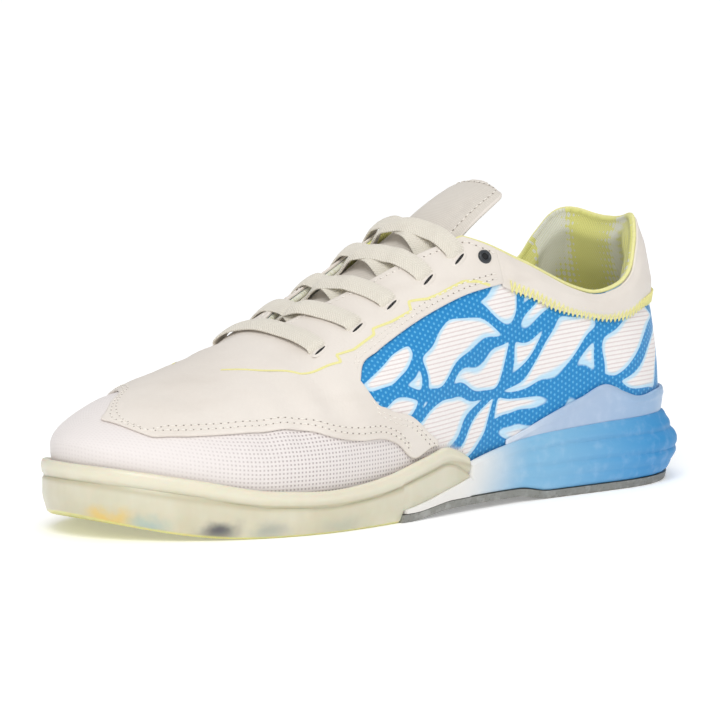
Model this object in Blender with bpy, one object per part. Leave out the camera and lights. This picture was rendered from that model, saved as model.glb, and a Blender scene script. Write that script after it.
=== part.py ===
"""Indoor soccer shoe, left foot, as closed solids in metres.

The toe points to -X and the heel to +X, the outer side of the foot is -Y, and +Z is up.
The origin is on the floor under the middle of the heel tread. Lengths along the shoe are
measured from the rearmost point of the sole, forwards, and called s in the functions.
"""
import math

import bmesh
import bpy
import numpy as np

# Driving sizes, in metres
LENGTH = 0.286          # sole, heel to toe
BALL = 0.100            # upper across the ball of the foot
INSTEP = 0.107          # ridge of the upper above the floor at the top of the lacing
TAB_HEIGHT = 0.0995     # top of the heel tab above the floor
HEEL_STACK = 0.018      # height of the foot bed above the floor, at the heel
FORE_STACK = 0.010      # the same under the ball
TOE_SPRING = 0.012      # lift of the foot bed at the toe
SOLE_SPRING = 0.0102    # lift of the sole's lower face at the toe
ARCH_LIFT = 0.0022      # lift of the sole's lower face under the arch
HEEL_BEVEL = 0.0035     # lift of the lower face at the very back
WALL = 0.002            # wall of the upper
OVERLAY = 0.001         # sheet sewn or welded on the upper
CLIP = 0.0018           # moulded heel clip
TREAD = 0.003           # grey tread under heel and arch
CUP_FLOOR = 0.004       # rubber under the forefoot
CUP_WALL = 0.0028       # rubber beside the forefoot
INSOLE = 0.0035
TONGUE = 0.0035
TONGUE_RISE = 0.0145    # of the tongue's free end above the throat's top
TONGUE_WIDTH = 0.045
LACE_WIDTH = 0.0068
LACE_THICKNESS = 0.0013
LACE_INSET = 0.0050     # of a lace's hidden end inside the throat's edge
EYELET_HOLE = 0.0026
EYELET_RIM = 0.0013
RIM_STEP = 0.0042       # of the moulded line below the cup's rim
RIM_ROUND = 0.0008      # rounding of the cup's rim
STEP_DEPTH = 0.0007     # depth of the moulded line
STEP_HEIGHT = 0.0009    # height of the moulded line
CUP_TAPER = 0.0016      # how far the cup's face falls back at the floor
TREAD_TAPER = 0.0006    # the same of the grey tread
EYELET_THICKNESS = 0.0007
EYELET_DROP = {-1: 0.0059, 1: 0.0065}   # spare lace hole below the top edge, by side
GAP = 0.0003            # between pieces that touch
SHEET_GAP = 0.0006      # between curved sheets laid over each other

# Places along the shoe, as shares of LENGTH
HEEL_SEAT = 0.1224 * LENGTH
BACK_CLEAR = 0.0297     # rearmost point of the upper
TOE_CLEAR = 0.9825      # foremost point of the upper
THROAT_TOP = 0.4126
THROAT_FRONT = 0.6538
MESH_TIP = 0.6346
QUARTER_END = 0.520     # rear end of the overlay between mesh and sole
WING_END = 0.4615
CUP_START = 0.5955
COLLAR_FRONT = 0.36     # in front of it the throat cuts the collar line
BAND_END = 0.3650
BAND_INSET = 0.012      # edge of a sheet below the top line, as a share of a row
TONGUE_FRONT = 0.72
TONGUE_TIP = 0.308
EYELET_AT = 0.3845
LACE_PITCH = 0.030      # forward slant of a crossing lace

LAST_START = BACK_CLEAR * LENGTH
LAST_LENGTH = (TOE_CLEAR - BACK_CLEAR) * LENGTH
HEEL_CAP = 0.15         # share of the last over which the heel rounds
TOE_CAP = 0.70          # share of the last where the toe begins to round
BELLY_SHARE = 0.16      # row parameter of the widest line, between lower edge and ridge
TUCK = 0.003            # how far the lower edge turns in under the widest line

# Half width of the throat on the outer (-1) and inner (1) side: near its front and what
# it gains up to its top (shares of BALL)
THROATS = {-1: (0.13, 0.10), 1: (0.11, 0.05)}

# Sections of the last: share of its length, half widths on the outer and inner side and
# the ridge's shift to the inner side (shares of BALL), ridge height (share of INSTEP),
# height of the widest line above the foot bed (share of HEEL_STACK), roundness
SECTION = ("at", "outer", "inner", "shift", "ridge", "belly", "round")
SECTIONS = [
    (0.000, 0.340, 0.340, 0.000, 1.560, 0.83, 2.00),
    (0.100, 0.340, 0.340, 0.000, 1.530, 0.83, 2.00),
    (0.200, 0.350, 0.345, 0.005, 1.400, 0.82, 2.10),
    (0.300, 0.355, 0.335, 0.020, 1.215, 0.80, 2.20),
    (0.385, 0.370, 0.335, 0.035, 1.000, 0.78, 2.50),
    (0.450, 0.400, 0.350, 0.050, 0.898, 0.78, 2.40),
    (0.520, 0.440, 0.385, 0.065, 0.790, 0.76, 2.30),
    (0.600, 0.475, 0.430, 0.075, 0.688, 0.75, 2.20),
    (0.680, 0.500, 0.460, 0.080, 0.590, 0.75, 2.10),
    (0.760, 0.500, 0.480, 0.080, 0.528, 0.75, 2.00),
    (0.840, 0.485, 0.485, 0.075, 0.478, 0.76, 2.00),
    (0.920, 0.465, 0.475, 0.065, 0.420, 0.74, 2.00),
    (1.000, 0.440, 0.460, 0.050, 0.335, 0.68, 2.00),
]

# Lean of the centre back: height (share of TAB_HEIGHT), forward shift (share of LENGTH)
LEAN = ("at", "shift")
BACK_LEAN = [
    (0.10, 0.0120),
    (0.18, 0.0060),
    (0.26, 0.0000),
    (0.34, -0.0028),
    (0.45, 0.0000),
    (0.60, 0.0091),
    (0.80, 0.0262),
    (1.00, 0.0437),
    (1.20, 0.0600),
]

# Heights along the shoe: share of LENGTH, height as a share of the named size
EDGE = ("at", "height")
CLIP_TOP = [            # upper edge of the heel clip, share of HEEL_STACK
    (0.030, 1.90),
    (0.085, 1.90),
    (0.140, 1.86),
    (0.166, 2.00),
    (0.194, 2.17),
    (0.240, 1.97),
    (0.301, 1.67),
    (0.362, 1.36),
    (0.385, 1.26),
]
LIP_TOP = [             # upper edge of the foam lip, share of HEEL_STACK
    (0.000, 1.46),
    (0.107, 1.46),
    (0.231, 1.43),
    (0.304, 1.36),
    (0.362, 1.24),
    (0.448, 0.98),
    (0.470, 0.90),
]
CUP_RIM = [             # upper edge of the rubber cup, share of FORE_STACK
    (0.455, 1.80),
    (0.480, 2.18),
    (0.510, 2.38),
    (0.531, 2.25),
    (0.563, 2.05),
    (0.610, 1.75),
    (0.664, 1.55),
    (0.717, 1.45),
    (0.797, 1.58),
    (0.892, 1.80),
    (0.955, 1.70),
    (1.000, 1.48),
]
WING_LOW = [            # lower edge of the cup's wing, share of FORE_STACK
    (0.455, 1.32),
    (0.500, 1.02),
    (0.563, 0.62),
    (0.585, 0.52),
    (0.600, 0.48),
]
SEAM_LOW = [            # lower edge of the vamp overlay, share of INSTEP
    (0.440, 0.235),
    (0.530, 0.245),
    (0.572, 0.222),
    (0.590, 0.262),
    (0.615, 0.292),
    (0.661, 0.300),
    (0.703, 0.318),
    (0.738, 0.346),
    (0.801, 0.350),
    (0.857, 0.333),
    (0.899, 0.312),
    (0.930, 0.300),
    (0.944, 0.318),
]
MESH_TOP = [            # upper edge of the open mesh, share of INSTEP
    (0.370, 0.757),
    (0.430, 0.729),
    (0.481, 0.687),
    (0.556, 0.607),
    (0.587, 0.570),
    (0.622, 0.519),
    (0.6346, 0.478),
]
MESH_LOW = [            # lower edge of the open mesh, share of INSTEP
    (0.440, 0.168),
    (0.491, 0.215),
    (0.531, 0.276),
    (0.566, 0.346),
    (0.608, 0.383),
    (0.628, 0.425),
    (0.6346, 0.478),
]
# Side of the foam wedge: height (share of HEEL_STACK), overhang beyond the upper beside
# the foot and what is added at the very back (shares of LENGTH)
FLARE = ("at", "side", "back")
FLARES = [
    (0.20, 0.0100, 0.0040),
    (0.45, 0.0117, 0.0120),
    (0.72, 0.0122, 0.0175),
    (0.95, 0.0115, 0.0160),
    (1.17, 0.0098, 0.0090),
    (1.46, 0.0080, 0.0010),
]
# Edges of the collar: share of LENGTH, height as the sum of a share of TAB_HEIGHT and a
# share of INSTEP
COLLAR = ("at", "tab", "instep")
TOPLINE = [
    (0.030, 1.000, 0.000),
    (0.060, 0.997, 0.000),
    (0.077, 0.969, 0.000),
    (0.092, 0.925, 0.000),
    (0.106, 0.884, 0.000),
    (0.125, 0.819, 0.000),
    (0.144, 0.784, 0.000),
    (0.173, 0.643, 0.105),
    (0.206, 0.446, 0.277),
    (0.249, 0.310, 0.432),
    (0.287, 0.165, 0.613),
    (0.335, 0.000, 0.831),
    (0.413, 0.000, 0.921),
    (0.500, 0.000, 0.986),
]
BAND_LOW = [            # lower edge of the collar band
    (0.030, 0.700, 0.000),
    (0.110, 0.680, 0.000),
    (0.157, 0.648, 0.000),
    (0.190, 0.486, 0.151),
    (0.220, 0.332, 0.308),
    (0.287, 0.178, 0.498),
    (0.322, 0.000, 0.706),
    (0.381, 0.000, 0.758),
]
# Lacing: share of LENGTH, distance of the slit from the ridge line on the outer and
# inner side (shares of BALL)
LACE_ROWS = [
    (0.652, 0.31, 0.24),
    (0.591, 0.31, 0.24),
    (0.533, 0.30, 0.23),
    (0.472, 0.29, 0.22),
    (0.420, 0.28, 0.21),
]

# Grooves across the tread, as shares of LENGTH
HEEL_GROOVES = (0.075, 0.175, 0.225, 0.275)
FORE_GROOVES = (0.625, 0.665, 0.765, 0.815, 0.865)
GROOVE_WIDTH = 0.0022
GROOVE_DEPTH = 0.0014

# Levels of the points down the foam's side, from lip to bottom; the third and the sixth
# lie in grooves
RIB_LEVELS = (0.0, 0.22, 0.28, 0.34, 0.54, 0.60, 0.66, 1.0)
RIB_GROOVES = (2, 5)
RIB_DEPTH = 0.0008

# Steps of the points on the foam's top, inwards from its edge
INNER_STEP = 0.002
BOARD_STEP = 0.0004


def column(table, names, name):
    """Returns the first column and the named one of a table as arrays."""
    rows = np.array(table)
    return rows[:, 0], rows[:, names.index(name)]


def curve(table, names, name, at):
    """Reads a smooth curve through one column of a table, held level past its ends."""
    knots, values = column(table, names, name)
    at = min(max(at, knots[0]), knots[-1])
    slopes = np.gradient(values, knots)
    i = min(int(np.searchsorted(knots, at, side="right")) - 1, len(knots) - 2)
    step = knots[i + 1] - knots[i]
    u = (at - knots[i]) / step
    rise = (2 * u ** 3 - 3 * u ** 2 + 1) * values[i] + (3 * u ** 2 - 2 * u ** 3) * values[i + 1]
    bend = (u ** 3 - 2 * u ** 2 + u) * slopes[i] + (u ** 3 - u ** 2) * slopes[i + 1]
    return float(rise + bend * step)


def smooth(u):
    """Eases from 0 to 1 as u runs from 0 to 1."""
    u = min(max(u, 0.0), 1.0)
    return u * u * (3 - 2 * u)


def share(t):
    """Share of LENGTH at share t of the last."""
    return (LAST_START + LAST_LENGTH * t) / LENGTH


def last_at(place):
    """Share of the last at a share of LENGTH."""
    return (place * LENGTH - LAST_START) / LAST_LENGTH


def spring(place):
    """Lift of the sole towards the toe."""
    return TOE_SPRING * max(0.0, (place - 0.80) / 0.20) ** 1.7


def foot_bed(place):
    """Height of the surface that the upper's lower edge and the insole stand on."""
    fall = smooth((place - 0.10) / 0.55)
    return HEEL_STACK + (FORE_STACK - HEEL_STACK) * fall + spring(place)


def floor_line(place):
    """Height of the sole's lowest face: flat heel and forefoot, arch, bevel and spring."""
    arch = smooth((place - 0.30) / 0.06) * smooth((0.575 - place) / 0.08)
    bevel = max(0.0, (0.045 - place) / 0.045)
    lift = SOLE_SPRING * max(0.0, (place - 0.80) / 0.20) ** 2.2
    return ARCH_LIFT * arch + HEEL_BEVEL * bevel ** 1.5 + lift


def collar_height(table, place):
    """Height of an edge of the collar."""
    tab = curve(table, COLLAR, "tab", place) * TAB_HEIGHT
    return tab + curve(table, COLLAR, "instep", place) * INSTEP


def rounding(t):
    """Share of the full half width that the heel and toe caps leave."""
    heel = min(max((HEEL_CAP - t) / HEEL_CAP, 0.0), 1.0)
    toe = min(max((t - TOE_CAP) / (1 - TOE_CAP), 0.0), 1.0)
    return (1 - heel ** 2.2) ** (1 / 2.2) * (1 - toe ** 2.05) ** (1 / 2.05)


def middle(t):
    """Shift of the ridge line to the inner side."""
    return curve(SECTIONS, SECTION, "shift", t) * BALL


def half_width(t, side):
    """Half width of the last from its ridge line, at its widest height."""
    name = "outer" if side < 0 else "inner"
    return (curve(SECTIONS, SECTION, name, t) * BALL - side * middle(t)) * rounding(t)


def belly(t):
    """Height of the widest line of the last."""
    return foot_bed(share(t)) + curve(SECTIONS, SECTION, "belly", t) * HEEL_STACK


def ridge(t):
    """Height of the last's ridge, which comes down to the widest line at the toe."""
    top = curve(SECTIONS, SECTION, "ridge", t) * INSTEP + spring(share(t))
    droop = min(max((t - 0.80) / 0.20, 0.0), 1.0)
    return belly(t) + (top - belly(t)) * (1 - droop ** 2.3) ** (1 / 2.3)


def lean(t, z):
    """Forward shift of the heel's back at a height, fading out along the sides."""
    amount = curve(BACK_LEAN, LEAN, "shift", z / TAB_HEIGHT) * LENGTH
    return amount * (1 - min(t / HEEL_CAP, 1.0))


def last_point(t, side, p):
    """Point of the last's surface.

    p runs from 0 at the lower edge over BELLY_SHARE at the widest line to 1 at the ridge.
    """
    low = foot_bed(share(t))
    wide = belly(t)
    width = half_width(t, side)
    tuck = TUCK * min(1.0, width / (4 * TUCK))
    if p < BELLY_SHARE:
        turn = p / BELLY_SHARE * math.pi / 2
        y = width - tuck * (1 - math.sin(turn))
        z = wide - (wide - low) * math.cos(turn)
        pull = TUCK * (1 - math.sin(turn))
    else:
        turn = (p - BELLY_SHARE) / (1 - BELLY_SHARE) * math.pi / 2
        power = 2 / curve(SECTIONS, SECTION, "round", t)
        y = width * max(math.cos(turn), 0.0) ** power
        z = wide + (ridge(t) - wide) * math.sin(turn) ** power
        pull = 0.0
    ends = max(0.0, 1 - t / HEEL_CAP) - max(0.0, (t - 0.85) / 0.15)
    s = LAST_START + LAST_LENGTH * t + lean(t, z) + pull * ends
    return np.array([HEEL_SEAT - s, middle(t) + side * y, z])


def blend_in(t):
    """Angle-like parameter whose step is even around the heel and toe caps."""
    if t < HEEL_CAP:
        return HEEL_CAP * math.acos(1 - t / HEEL_CAP) / (math.pi / 2)
    if t > TOE_CAP:
        return TOE_CAP + (1 - TOE_CAP) * math.asin((t - TOE_CAP) / (1 - TOE_CAP)) / (math.pi / 2)
    return t


def blend_out(a):
    """Share of the last for the parameter of blend_in."""
    a = min(max(a, 0.0), 1.0)
    if a < HEEL_CAP:
        return HEEL_CAP * (1 - math.cos(a / HEEL_CAP * math.pi / 2))
    if a > TOE_CAP:
        return TOE_CAP + (1 - TOE_CAP) * math.sin((a - TOE_CAP) / (1 - TOE_CAP) * math.pi / 2)
    return a


def last_normal(t, side, p):
    """Outward direction of the last's surface."""
    if t > 0.9999:
        return np.array([-1.0, 0.0, 0.0])
    a = blend_in(t)
    step = 0.0015
    a0 = blend_out(max(a - step, 0.0))
    a1 = blend_out(min(a + step, 1.0))
    along = last_point(a1, side, p) - last_point(a0, side, p)
    if a < 1e-6:
        along = np.array([0.0, side, 0.0])
    p0 = max(p - 0.004, 0.0 if p < BELLY_SHARE else BELLY_SHARE)
    p1 = min(p + 0.004, BELLY_SHARE if p < BELLY_SHARE else 1.0)
    up = last_point(t, side, p1) - last_point(t, side, p0)
    if p > 1 - 1e-6:
        up = np.array([0.0, -side, 0.0])
    normal = np.cross(along, up) * side
    return normal / np.linalg.norm(normal)


def skin(t, side, p, offset):
    """Point at a distance outside the last's surface."""
    return last_point(t, side, p) + last_normal(t, side, p) * offset


def height_share(t, z):
    """Row parameter p at which the last's surface has the height z."""
    low = foot_bed(share(t))
    wide = belly(t)
    if z < wide:
        ratio = min(max((wide - z) / (wide - low), 0.0), 1.0)
        return BELLY_SHARE * math.acos(ratio) / (math.pi / 2)
    power = curve(SECTIONS, SECTION, "round", t) / 2
    ratio = min((z - wide) / max(ridge(t) - wide, 1e-6), 1.0)
    return BELLY_SHARE + (1 - BELLY_SHARE) * math.asin(ratio ** power) / (math.pi / 2)


def distance_share(t, side, distance):
    """Row parameter p at a distance beside the ridge line."""
    power = curve(SECTIONS, SECTION, "round", t) / 2
    ratio = min(distance / max(half_width(t, side), 1e-6), 1.0)
    return BELLY_SHARE + (1 - BELLY_SHARE) * math.acos(ratio ** power) / (math.pi / 2)


def throat(t, side):
    """Half width of the throat beside the ridge line, none in front of it."""
    open_share = (THROAT_FRONT - share(t)) / (THROAT_FRONT - THROAT_TOP)
    u = min(max(open_share, 0.0), 1.6)
    wide, more = THROATS[side]
    return BALL * (wide * u ** 0.3 + more * u)


def top_share(t, side):
    """Row parameter p of the upper's top edge: collar line, throat or closed ridge."""
    if share(t) >= THROAT_FRONT - 1e-6:
        return 1.0
    collar = height_share(t, collar_height(TOPLINE, share(t)))
    if share(t) < COLLAR_FRONT:
        return collar
    return min(collar, distance_share(t, side, throat(t, side)))


def stations(start, end, extra=()):
    """Shared sections between two shares of the last, with both ends and extra ones."""
    fixed = (THROAT_TOP, WING_END, CUP_START, MESH_TIP, THROAT_FRONT - 0.007, THROAT_FRONT)
    named = [last_at(place) for place in fixed]
    named = [t for t in named if start + 0.004 < t < end - 0.004] + [start, end]
    marks = [HEEL_CAP * (1 - math.cos(i / 6 * math.pi / 2)) for i in range(1, 7)]
    marks += [0.19 + 0.0425 * i for i in range(12)]
    marks += [TOE_CAP + (1 - TOE_CAP) * math.sin(i / 9 * math.pi / 2) for i in range(9)]
    kept = []
    for t in marks:
        room = min(abs(blend_in(t) - blend_in(mark)) for mark in named)
        if start < t < end and room > 0.014:
            kept.append(t)
    return sorted(kept + named + list(extra))


class Sheet:
    """Faces between two layers of points, merged where points coincide, made solid."""

    SNAP = 1e-6

    def __init__(self):
        self.cells = {}
        self.outer = []
        self.inner = []
        self.faces = []

    def point(self, outer, inner):
        """Adds a pair of points, or finds the same pair, and returns its number."""
        cell = tuple(int(math.floor(v / (10 * self.SNAP))) for v in outer)
        for shift in np.ndindex(3, 3, 3):
            near = tuple(c + step - 1 for c, step in zip(cell, shift))
            for number in self.cells.get(near, ()):
                apart = math.dist(self.outer[number], outer) + math.dist(self.inner[number], inner)
                if apart < self.SNAP:
                    return number
        self.cells.setdefault(cell, []).append(len(self.outer))
        self.outer.append(outer)
        self.inner.append(inner)
        return len(self.outer) - 1

    def grid(self, rows):
        """Adds the faces between rows of (outer, inner) pairs of equal length."""
        numbers = [[self.point(*pair) for pair in row] for row in rows]
        for first, second in zip(numbers, numbers[1:]):
            for i in range(len(first) - 1):
                corners = (first[i], first[i + 1], second[i + 1], second[i])
                face = tuple(dict.fromkeys(corners))
                if len(face) > 2:
                    self.faces.append(face)

    def solid(self):
        """Returns vertices and faces of the closed solid, facing outwards."""
        count = len(self.outer)
        uses = {}
        for face in self.faces:
            for a, b in zip(face, face[1:] + face[:1]):
                uses[frozenset((a, b))] = uses.get(frozenset((a, b)), 0) + 1
        closed = list(self.faces)
        closed += [tuple(v + count for v in reversed(face)) for face in self.faces]
        for edge in [tuple(sorted(edge)) for edge, times in uses.items() if times == 1]:
            a, b = edge
            closed.append((b, a, a + count, b + count))
        vertices = self.outer + self.inner
        return vertices, closed


def material(name, colour, roughness):
    """Makes a plain Principled material."""
    made = bpy.data.materials.new(name)
    made.use_nodes = True
    shader = made.node_tree.nodes["Principled BSDF"]
    shader.inputs["Base Color"].default_value = (*colour, 1.0)
    shader.inputs["Roughness"].default_value = roughness
    return made


def add_object(name, vertices, faces, finish):
    """Adds one closed mesh object whose faces point out."""
    mesh = bpy.data.meshes.new(name)
    mesh.from_pydata([tuple(v) for v in vertices], [], faces)
    work = bmesh.new()
    work.from_mesh(mesh)
    bmesh.ops.remove_doubles(work, verts=work.verts, dist=1e-6)
    bmesh.ops.triangulate(work, faces=work.faces)
    bmesh.ops.recalc_face_normals(work, faces=work.faces)
    if work.calc_volume(signed=True) < 0:
        bmesh.ops.reverse_faces(work, faces=work.faces)
    work.to_mesh(mesh)
    work.free()
    mesh.materials.append(finish)
    mesh.shade_smooth()
    mesh.set_sharp_from_angle(angle=math.radians(35))
    made = bpy.data.objects.new(name, mesh)
    bpy.context.scene.collection.objects.link(made)
    return made


def skin_sheet(sheet, places, side, low, high, count, inner, outer):
    """Adds rows over the last's surface between two edges given as functions of t."""
    rows = []
    for t in places:
        bottom = low(t)
        top = high(t)
        row = []
        for i in range(count + 1):
            p = bottom + (top - bottom) * i / count
            row.append((skin(t, side, p, outer), skin(t, side, p, inner)))
        rows.append(row)
    sheet.grid(rows)


def make_upper(finish):
    """Hollow upper, open at the collar, the throat and underneath."""
    sheet = Sheet()
    for side in (-1, 1):
        rows = []
        for t in stations(0.0, 1.0):
            top = top_share(t, side)
            shares = [0.0, BELLY_SHARE * 0.5, BELLY_SHARE]
            shares += [BELLY_SHARE + (top - BELLY_SHARE) * i / 11 for i in range(1, 12)]
            rows.append([(skin(t, side, p, 0.0), skin(t, side, p, -WALL)) for p in shares])
        sheet.grid(rows)
    return add_object("upper", *sheet.solid(), finish)


def edge_height(table, size, t):
    """Row parameter p of an edge given by a height table."""
    place = share(t)
    return height_share(t, curve(table, EDGE, "height", place) * size + spring(place))


def make_vamp_overlay(finish):
    """Smooth sheet over vamp, eyestay and lower quarter, around the open mesh."""
    sheet = Sheet()
    inner = SHEET_GAP
    outer = SHEET_GAP + OVERLAY
    tip = last_at(MESH_TIP)
    front = last_at(0.944)
    back = last_at(BAND_END) + 0.004
    low_back = last_at(QUARTER_END)
    vamp = stations(tip, front, [last_at(place) for place in (0.920, 0.931, 0.938)])
    for side in (-1, 1):
        def seam(t):
            return edge_height(SEAM_LOW, INSTEP, t)

        def mesh_low(t):
            return edge_height(MESH_LOW, INSTEP, t)

        def top(t, s=side):
            closed = share(t) > THROAT_FRONT - 1e-6
            return top_share(t, s) - (0.0 if closed else BAND_INSET)

        level = (edge_height(MESH_TOP, INSTEP, tip) - seam(tip)) / (top(tip) - seam(tip))

        def split(t):
            if t <= tip:
                return edge_height(MESH_TOP, INSTEP, t)
            return seam(t) + (top(t) - seam(t)) * level

        skin_sheet(sheet, vamp, side, seam, split, 3, inner, outer)
        skin_sheet(sheet, vamp, side, split, top, 7, inner, outer)
        skin_sheet(sheet, stations(back, tip), side, split, top, 7, inner, outer)
        skin_sheet(sheet, stations(low_back, tip), side, seam, mesh_low, 3, inner, outer)
    return add_object("vamp_overlay", *sheet.solid(), finish)


def make_collar_band(finish):
    """Smooth band below the collar line, around the heel."""
    sheet = Sheet()
    for side in (-1, 1):
        def low(t):
            return height_share(t, collar_height(BAND_LOW, share(t)))

        def high(t, s=side):
            return top_share(t, s) - BAND_INSET

        places = stations(0.0, last_at(BAND_END) - 0.002)
        skin_sheet(sheet, places, side, low, high, 4, SHEET_GAP, SHEET_GAP + OVERLAY)
    return add_object("collar_band", *sheet.solid(), finish)


def make_heel_clip(finish):
    """Moulded clip around the heel, above the foam lip."""
    sheet = Sheet()
    for side in (-1, 1):
        def low(t):
            place = share(t)
            lip = curve(LIP_TOP, EDGE, "height", place) * HEEL_STACK
            return height_share(t, lip + 2 * GAP)

        def high(t):
            return edge_height(CLIP_TOP, HEEL_STACK, t)

        places = stations(0.0, last_at(0.375))
        skin_sheet(sheet, places, side, low, high, 4, SHEET_GAP, SHEET_GAP + CLIP)
    return add_object("heel_clip", *sheet.solid(), finish)


def rim_point(t, side, offset, z):
    """Point beside the last's widest outline.

    z is a height, or a function that gives the height from the point's own place.
    """
    a = blend_in(t)
    ends = [blend_out(max(a - 0.002, 0.0)), blend_out(min(a + 0.002, 1.0))]
    line = [(LAST_START + LAST_LENGTH * u, middle(u) + side * half_width(u, side)) for u in ends]
    along = np.array(line[1]) - np.array(line[0])
    if t < 1e-6:
        along = np.array([0.0, side])
    if t > 1 - 1e-6:
        along = np.array([0.0, -side])
    along /= np.linalg.norm(along)
    out = np.array([-along[1], along[0]]) * side
    s = LAST_START + LAST_LENGTH * t + out[0] * offset
    y = middle(t) + side * half_width(t, side) + out[1] * offset
    return np.array([HEEL_SEAT - s, y, z(s / LENGTH) if callable(z) else z])


def under_bed(place):
    """Height of the foam's top."""
    return foot_bed(place) - GAP


def tread_top(place):
    """Height of the grey tread's top."""
    return floor_line(place) + TREAD


def over_tread(place):
    """Height of the foam's lower face over the tread."""
    return tread_top(place) + GAP


def cup_top(place):
    """Height of the rubber cup's inner floor."""
    return floor_line(place) + CUP_FLOOR


def over_cup(place):
    """Height of the foam's lower face over the cup's floor."""
    return cup_top(place) + GAP


def flare(t, z):
    """Overhang of the foam and tread beyond the upper at a height."""
    level = z / HEEL_STACK
    beside = curve(FLARES, FLARE, "side", level)
    behind = curve(FLARES, FLARE, "back", level) * (1 - min(t / 0.22, 1.0)) ** 1.3
    return (beside + behind) * LENGTH


def across(left, right, count):
    """Points between two points, without the ends."""
    return [left + (right - left) * i / count for i in range(1, count)]


def joined(sides, count):
    """Joins the outer and inner chains of both sides by straight runs between them."""
    left, right = sides
    row = list(left)
    outer = across(left[-1][0], right[-1][0], count)
    inner = across(left[-1][1], right[-1][1], count)
    row += list(zip(outer, inner))
    row += list(reversed(right))
    return row


def cup_outer(t, z):
    """Offset of the rubber cup's outer face, fuller low down and at the toe."""
    place = share(t)
    base = floor_line(place)
    rise = (z - base) / (curve(CUP_RIM, EDGE, "height", place) * FORE_STACK)
    foot = 1 - smooth(rise / 0.45)
    return GAP + CUP_WALL - CUP_TAPER * foot


def cup_chain(t, side, low=None):
    """Outer and inner chain of the cup's wall, from the rim down to the floor or to low."""
    place = share(t)
    rim = curve(CUP_RIM, EDGE, "height", place) * FORE_STACK + spring(place)
    step = rim - RIM_STEP
    foot = floor_line(place) if low is None else low
    inside = cup_top(place) if low is None else low
    heights = [rim, rim - RIM_ROUND, step, step - STEP_HEIGHT, foot + (step - foot) * 0.45, foot]
    outs = [cup_outer(t, z) for z in heights]
    outs[0] -= RIM_ROUND
    outs[3] -= STEP_DEPTH
    levels = heights[:4] + [inside + (step - inside) * 0.45, inside]
    if low is None:
        heights[-1] = floor_line
        levels[-1] = cup_top
    outer = [rim_point(t, side, out, z) for out, z in zip(outs, heights)]
    inner = [rim_point(t, side, GAP, z) for z in levels]
    return list(zip(outer, inner))


def make_cupsole(finish):
    """Clear rubber cup under and around the forefoot, with a wing on each side."""
    sheet = Sheet()
    start = last_at(CUP_START)
    rows = []
    for t in stations(start, 1.0):
        rows.append(joined([cup_chain(t, side) for side in (-1, 1)], 4))
    sheet.grid(rows)
    for side in (-1, 1):
        rows = []
        for t in stations(last_at(WING_END), start - 3 * GAP / LAST_LENGTH):
            low = curve(WING_LOW, EDGE, "height", share(t)) * FORE_STACK
            rows.append(cup_chain(t, side, low))
        rows.append(cup_chain(start, side))
        sheet.grid(rows)
    piece = add_object("cupsole", *sheet.solid(), finish)
    cut_grooves(piece, FORE_GROOVES)
    return piece


def heel_chain(t, side):
    """Foam behind the cup: lip and ribbed side outside, lip and foot bed inside."""
    place = share(t)
    bed = under_bed(place)
    low = over_tread(place)
    top = curve(LIP_TOP, EDGE, "height", place) * HEEL_STACK
    depth = RIB_DEPTH * smooth((WING_END - place) / 0.2)
    chain = []
    for i, level in enumerate(RIB_LEVELS):
        z = top + (low - top) * level
        out = flare(t, z) - (depth if i in RIB_GROOVES else 0.0)
        outer = rim_point(t, side, out, z if level < 1 else over_tread)
        inside = top + (bed - top) * i / 4
        inwards = GAP - INNER_STEP * max(i - 4, 0)
        chain.append((outer, rim_point(t, side, inwards, inside if i < 4 else under_bed)))
    return chain


def wing_chain(t, side, ledge_share=1.0):
    """Foam behind the cup's wing, with a ledge below it that is flush with its face."""
    place = share(t)
    bed = under_bed(place)
    low = over_tread(place)
    ledge = max(curve(WING_LOW, EDGE, "height", place) * FORE_STACK - GAP, low + GAP)
    chain = []
    for i in range(len(RIB_LEVELS)):
        if i < 4:
            out = 0.0
            z = bed + (ledge - bed) * i / 3
        else:
            z = ledge + (low - ledge) * (i - 4) / 3
            out = flare(t, z) * ledge_share
        chain.append((rim_point(t, side, out, z),
                      rim_point(t, side, -GAP - BOARD_STEP * (i + 1), under_bed)))
    return chain


def ledge_end(t, side):
    """Foam just past the ledge, still at the ledge's heights."""
    return wing_chain(t, side, 0.0)


def board_chain(t, side):
    """Foam inside the cup: a flat board."""
    place = share(t)
    last = len(RIB_LEVELS) - 1
    chain = []
    for i in range(last + 1):
        z = under_bed(place) + (over_cup(place) - under_bed(place)) * i / last
        level = {0: under_bed, last: over_cup}.get(i, z)
        chain.append((rim_point(t, side, -GAP, level),
                      rim_point(t, side, -2 * GAP - BOARD_STEP * (i + 1), under_bed)))
    return chain


def make_midsole(finish):
    """Foam wedge: lip and ribbed side at the heel, a flat board inside the cup."""
    sheet = Sheet()
    wing = last_at(WING_END)
    cup = last_at(CUP_START)
    step = 2 * GAP / LAST_LENGTH
    zones = [
        (heel_chain, stations(0.0, wing - 3 * step)),
        (wing_chain, stations(wing - step / 2, cup - 4 * step)),
        (ledge_end, [cup - 3 * step]),
        (board_chain, stations(cup - 2 * step, 1.0)),
    ]
    rows = []
    for chain, places in zones:
        rows += [joined([chain(t, side) for side in (-1, 1)], 2) for t in places]
    sheet.grid(rows)
    return add_object("midsole", *sheet.solid(), finish)


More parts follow.
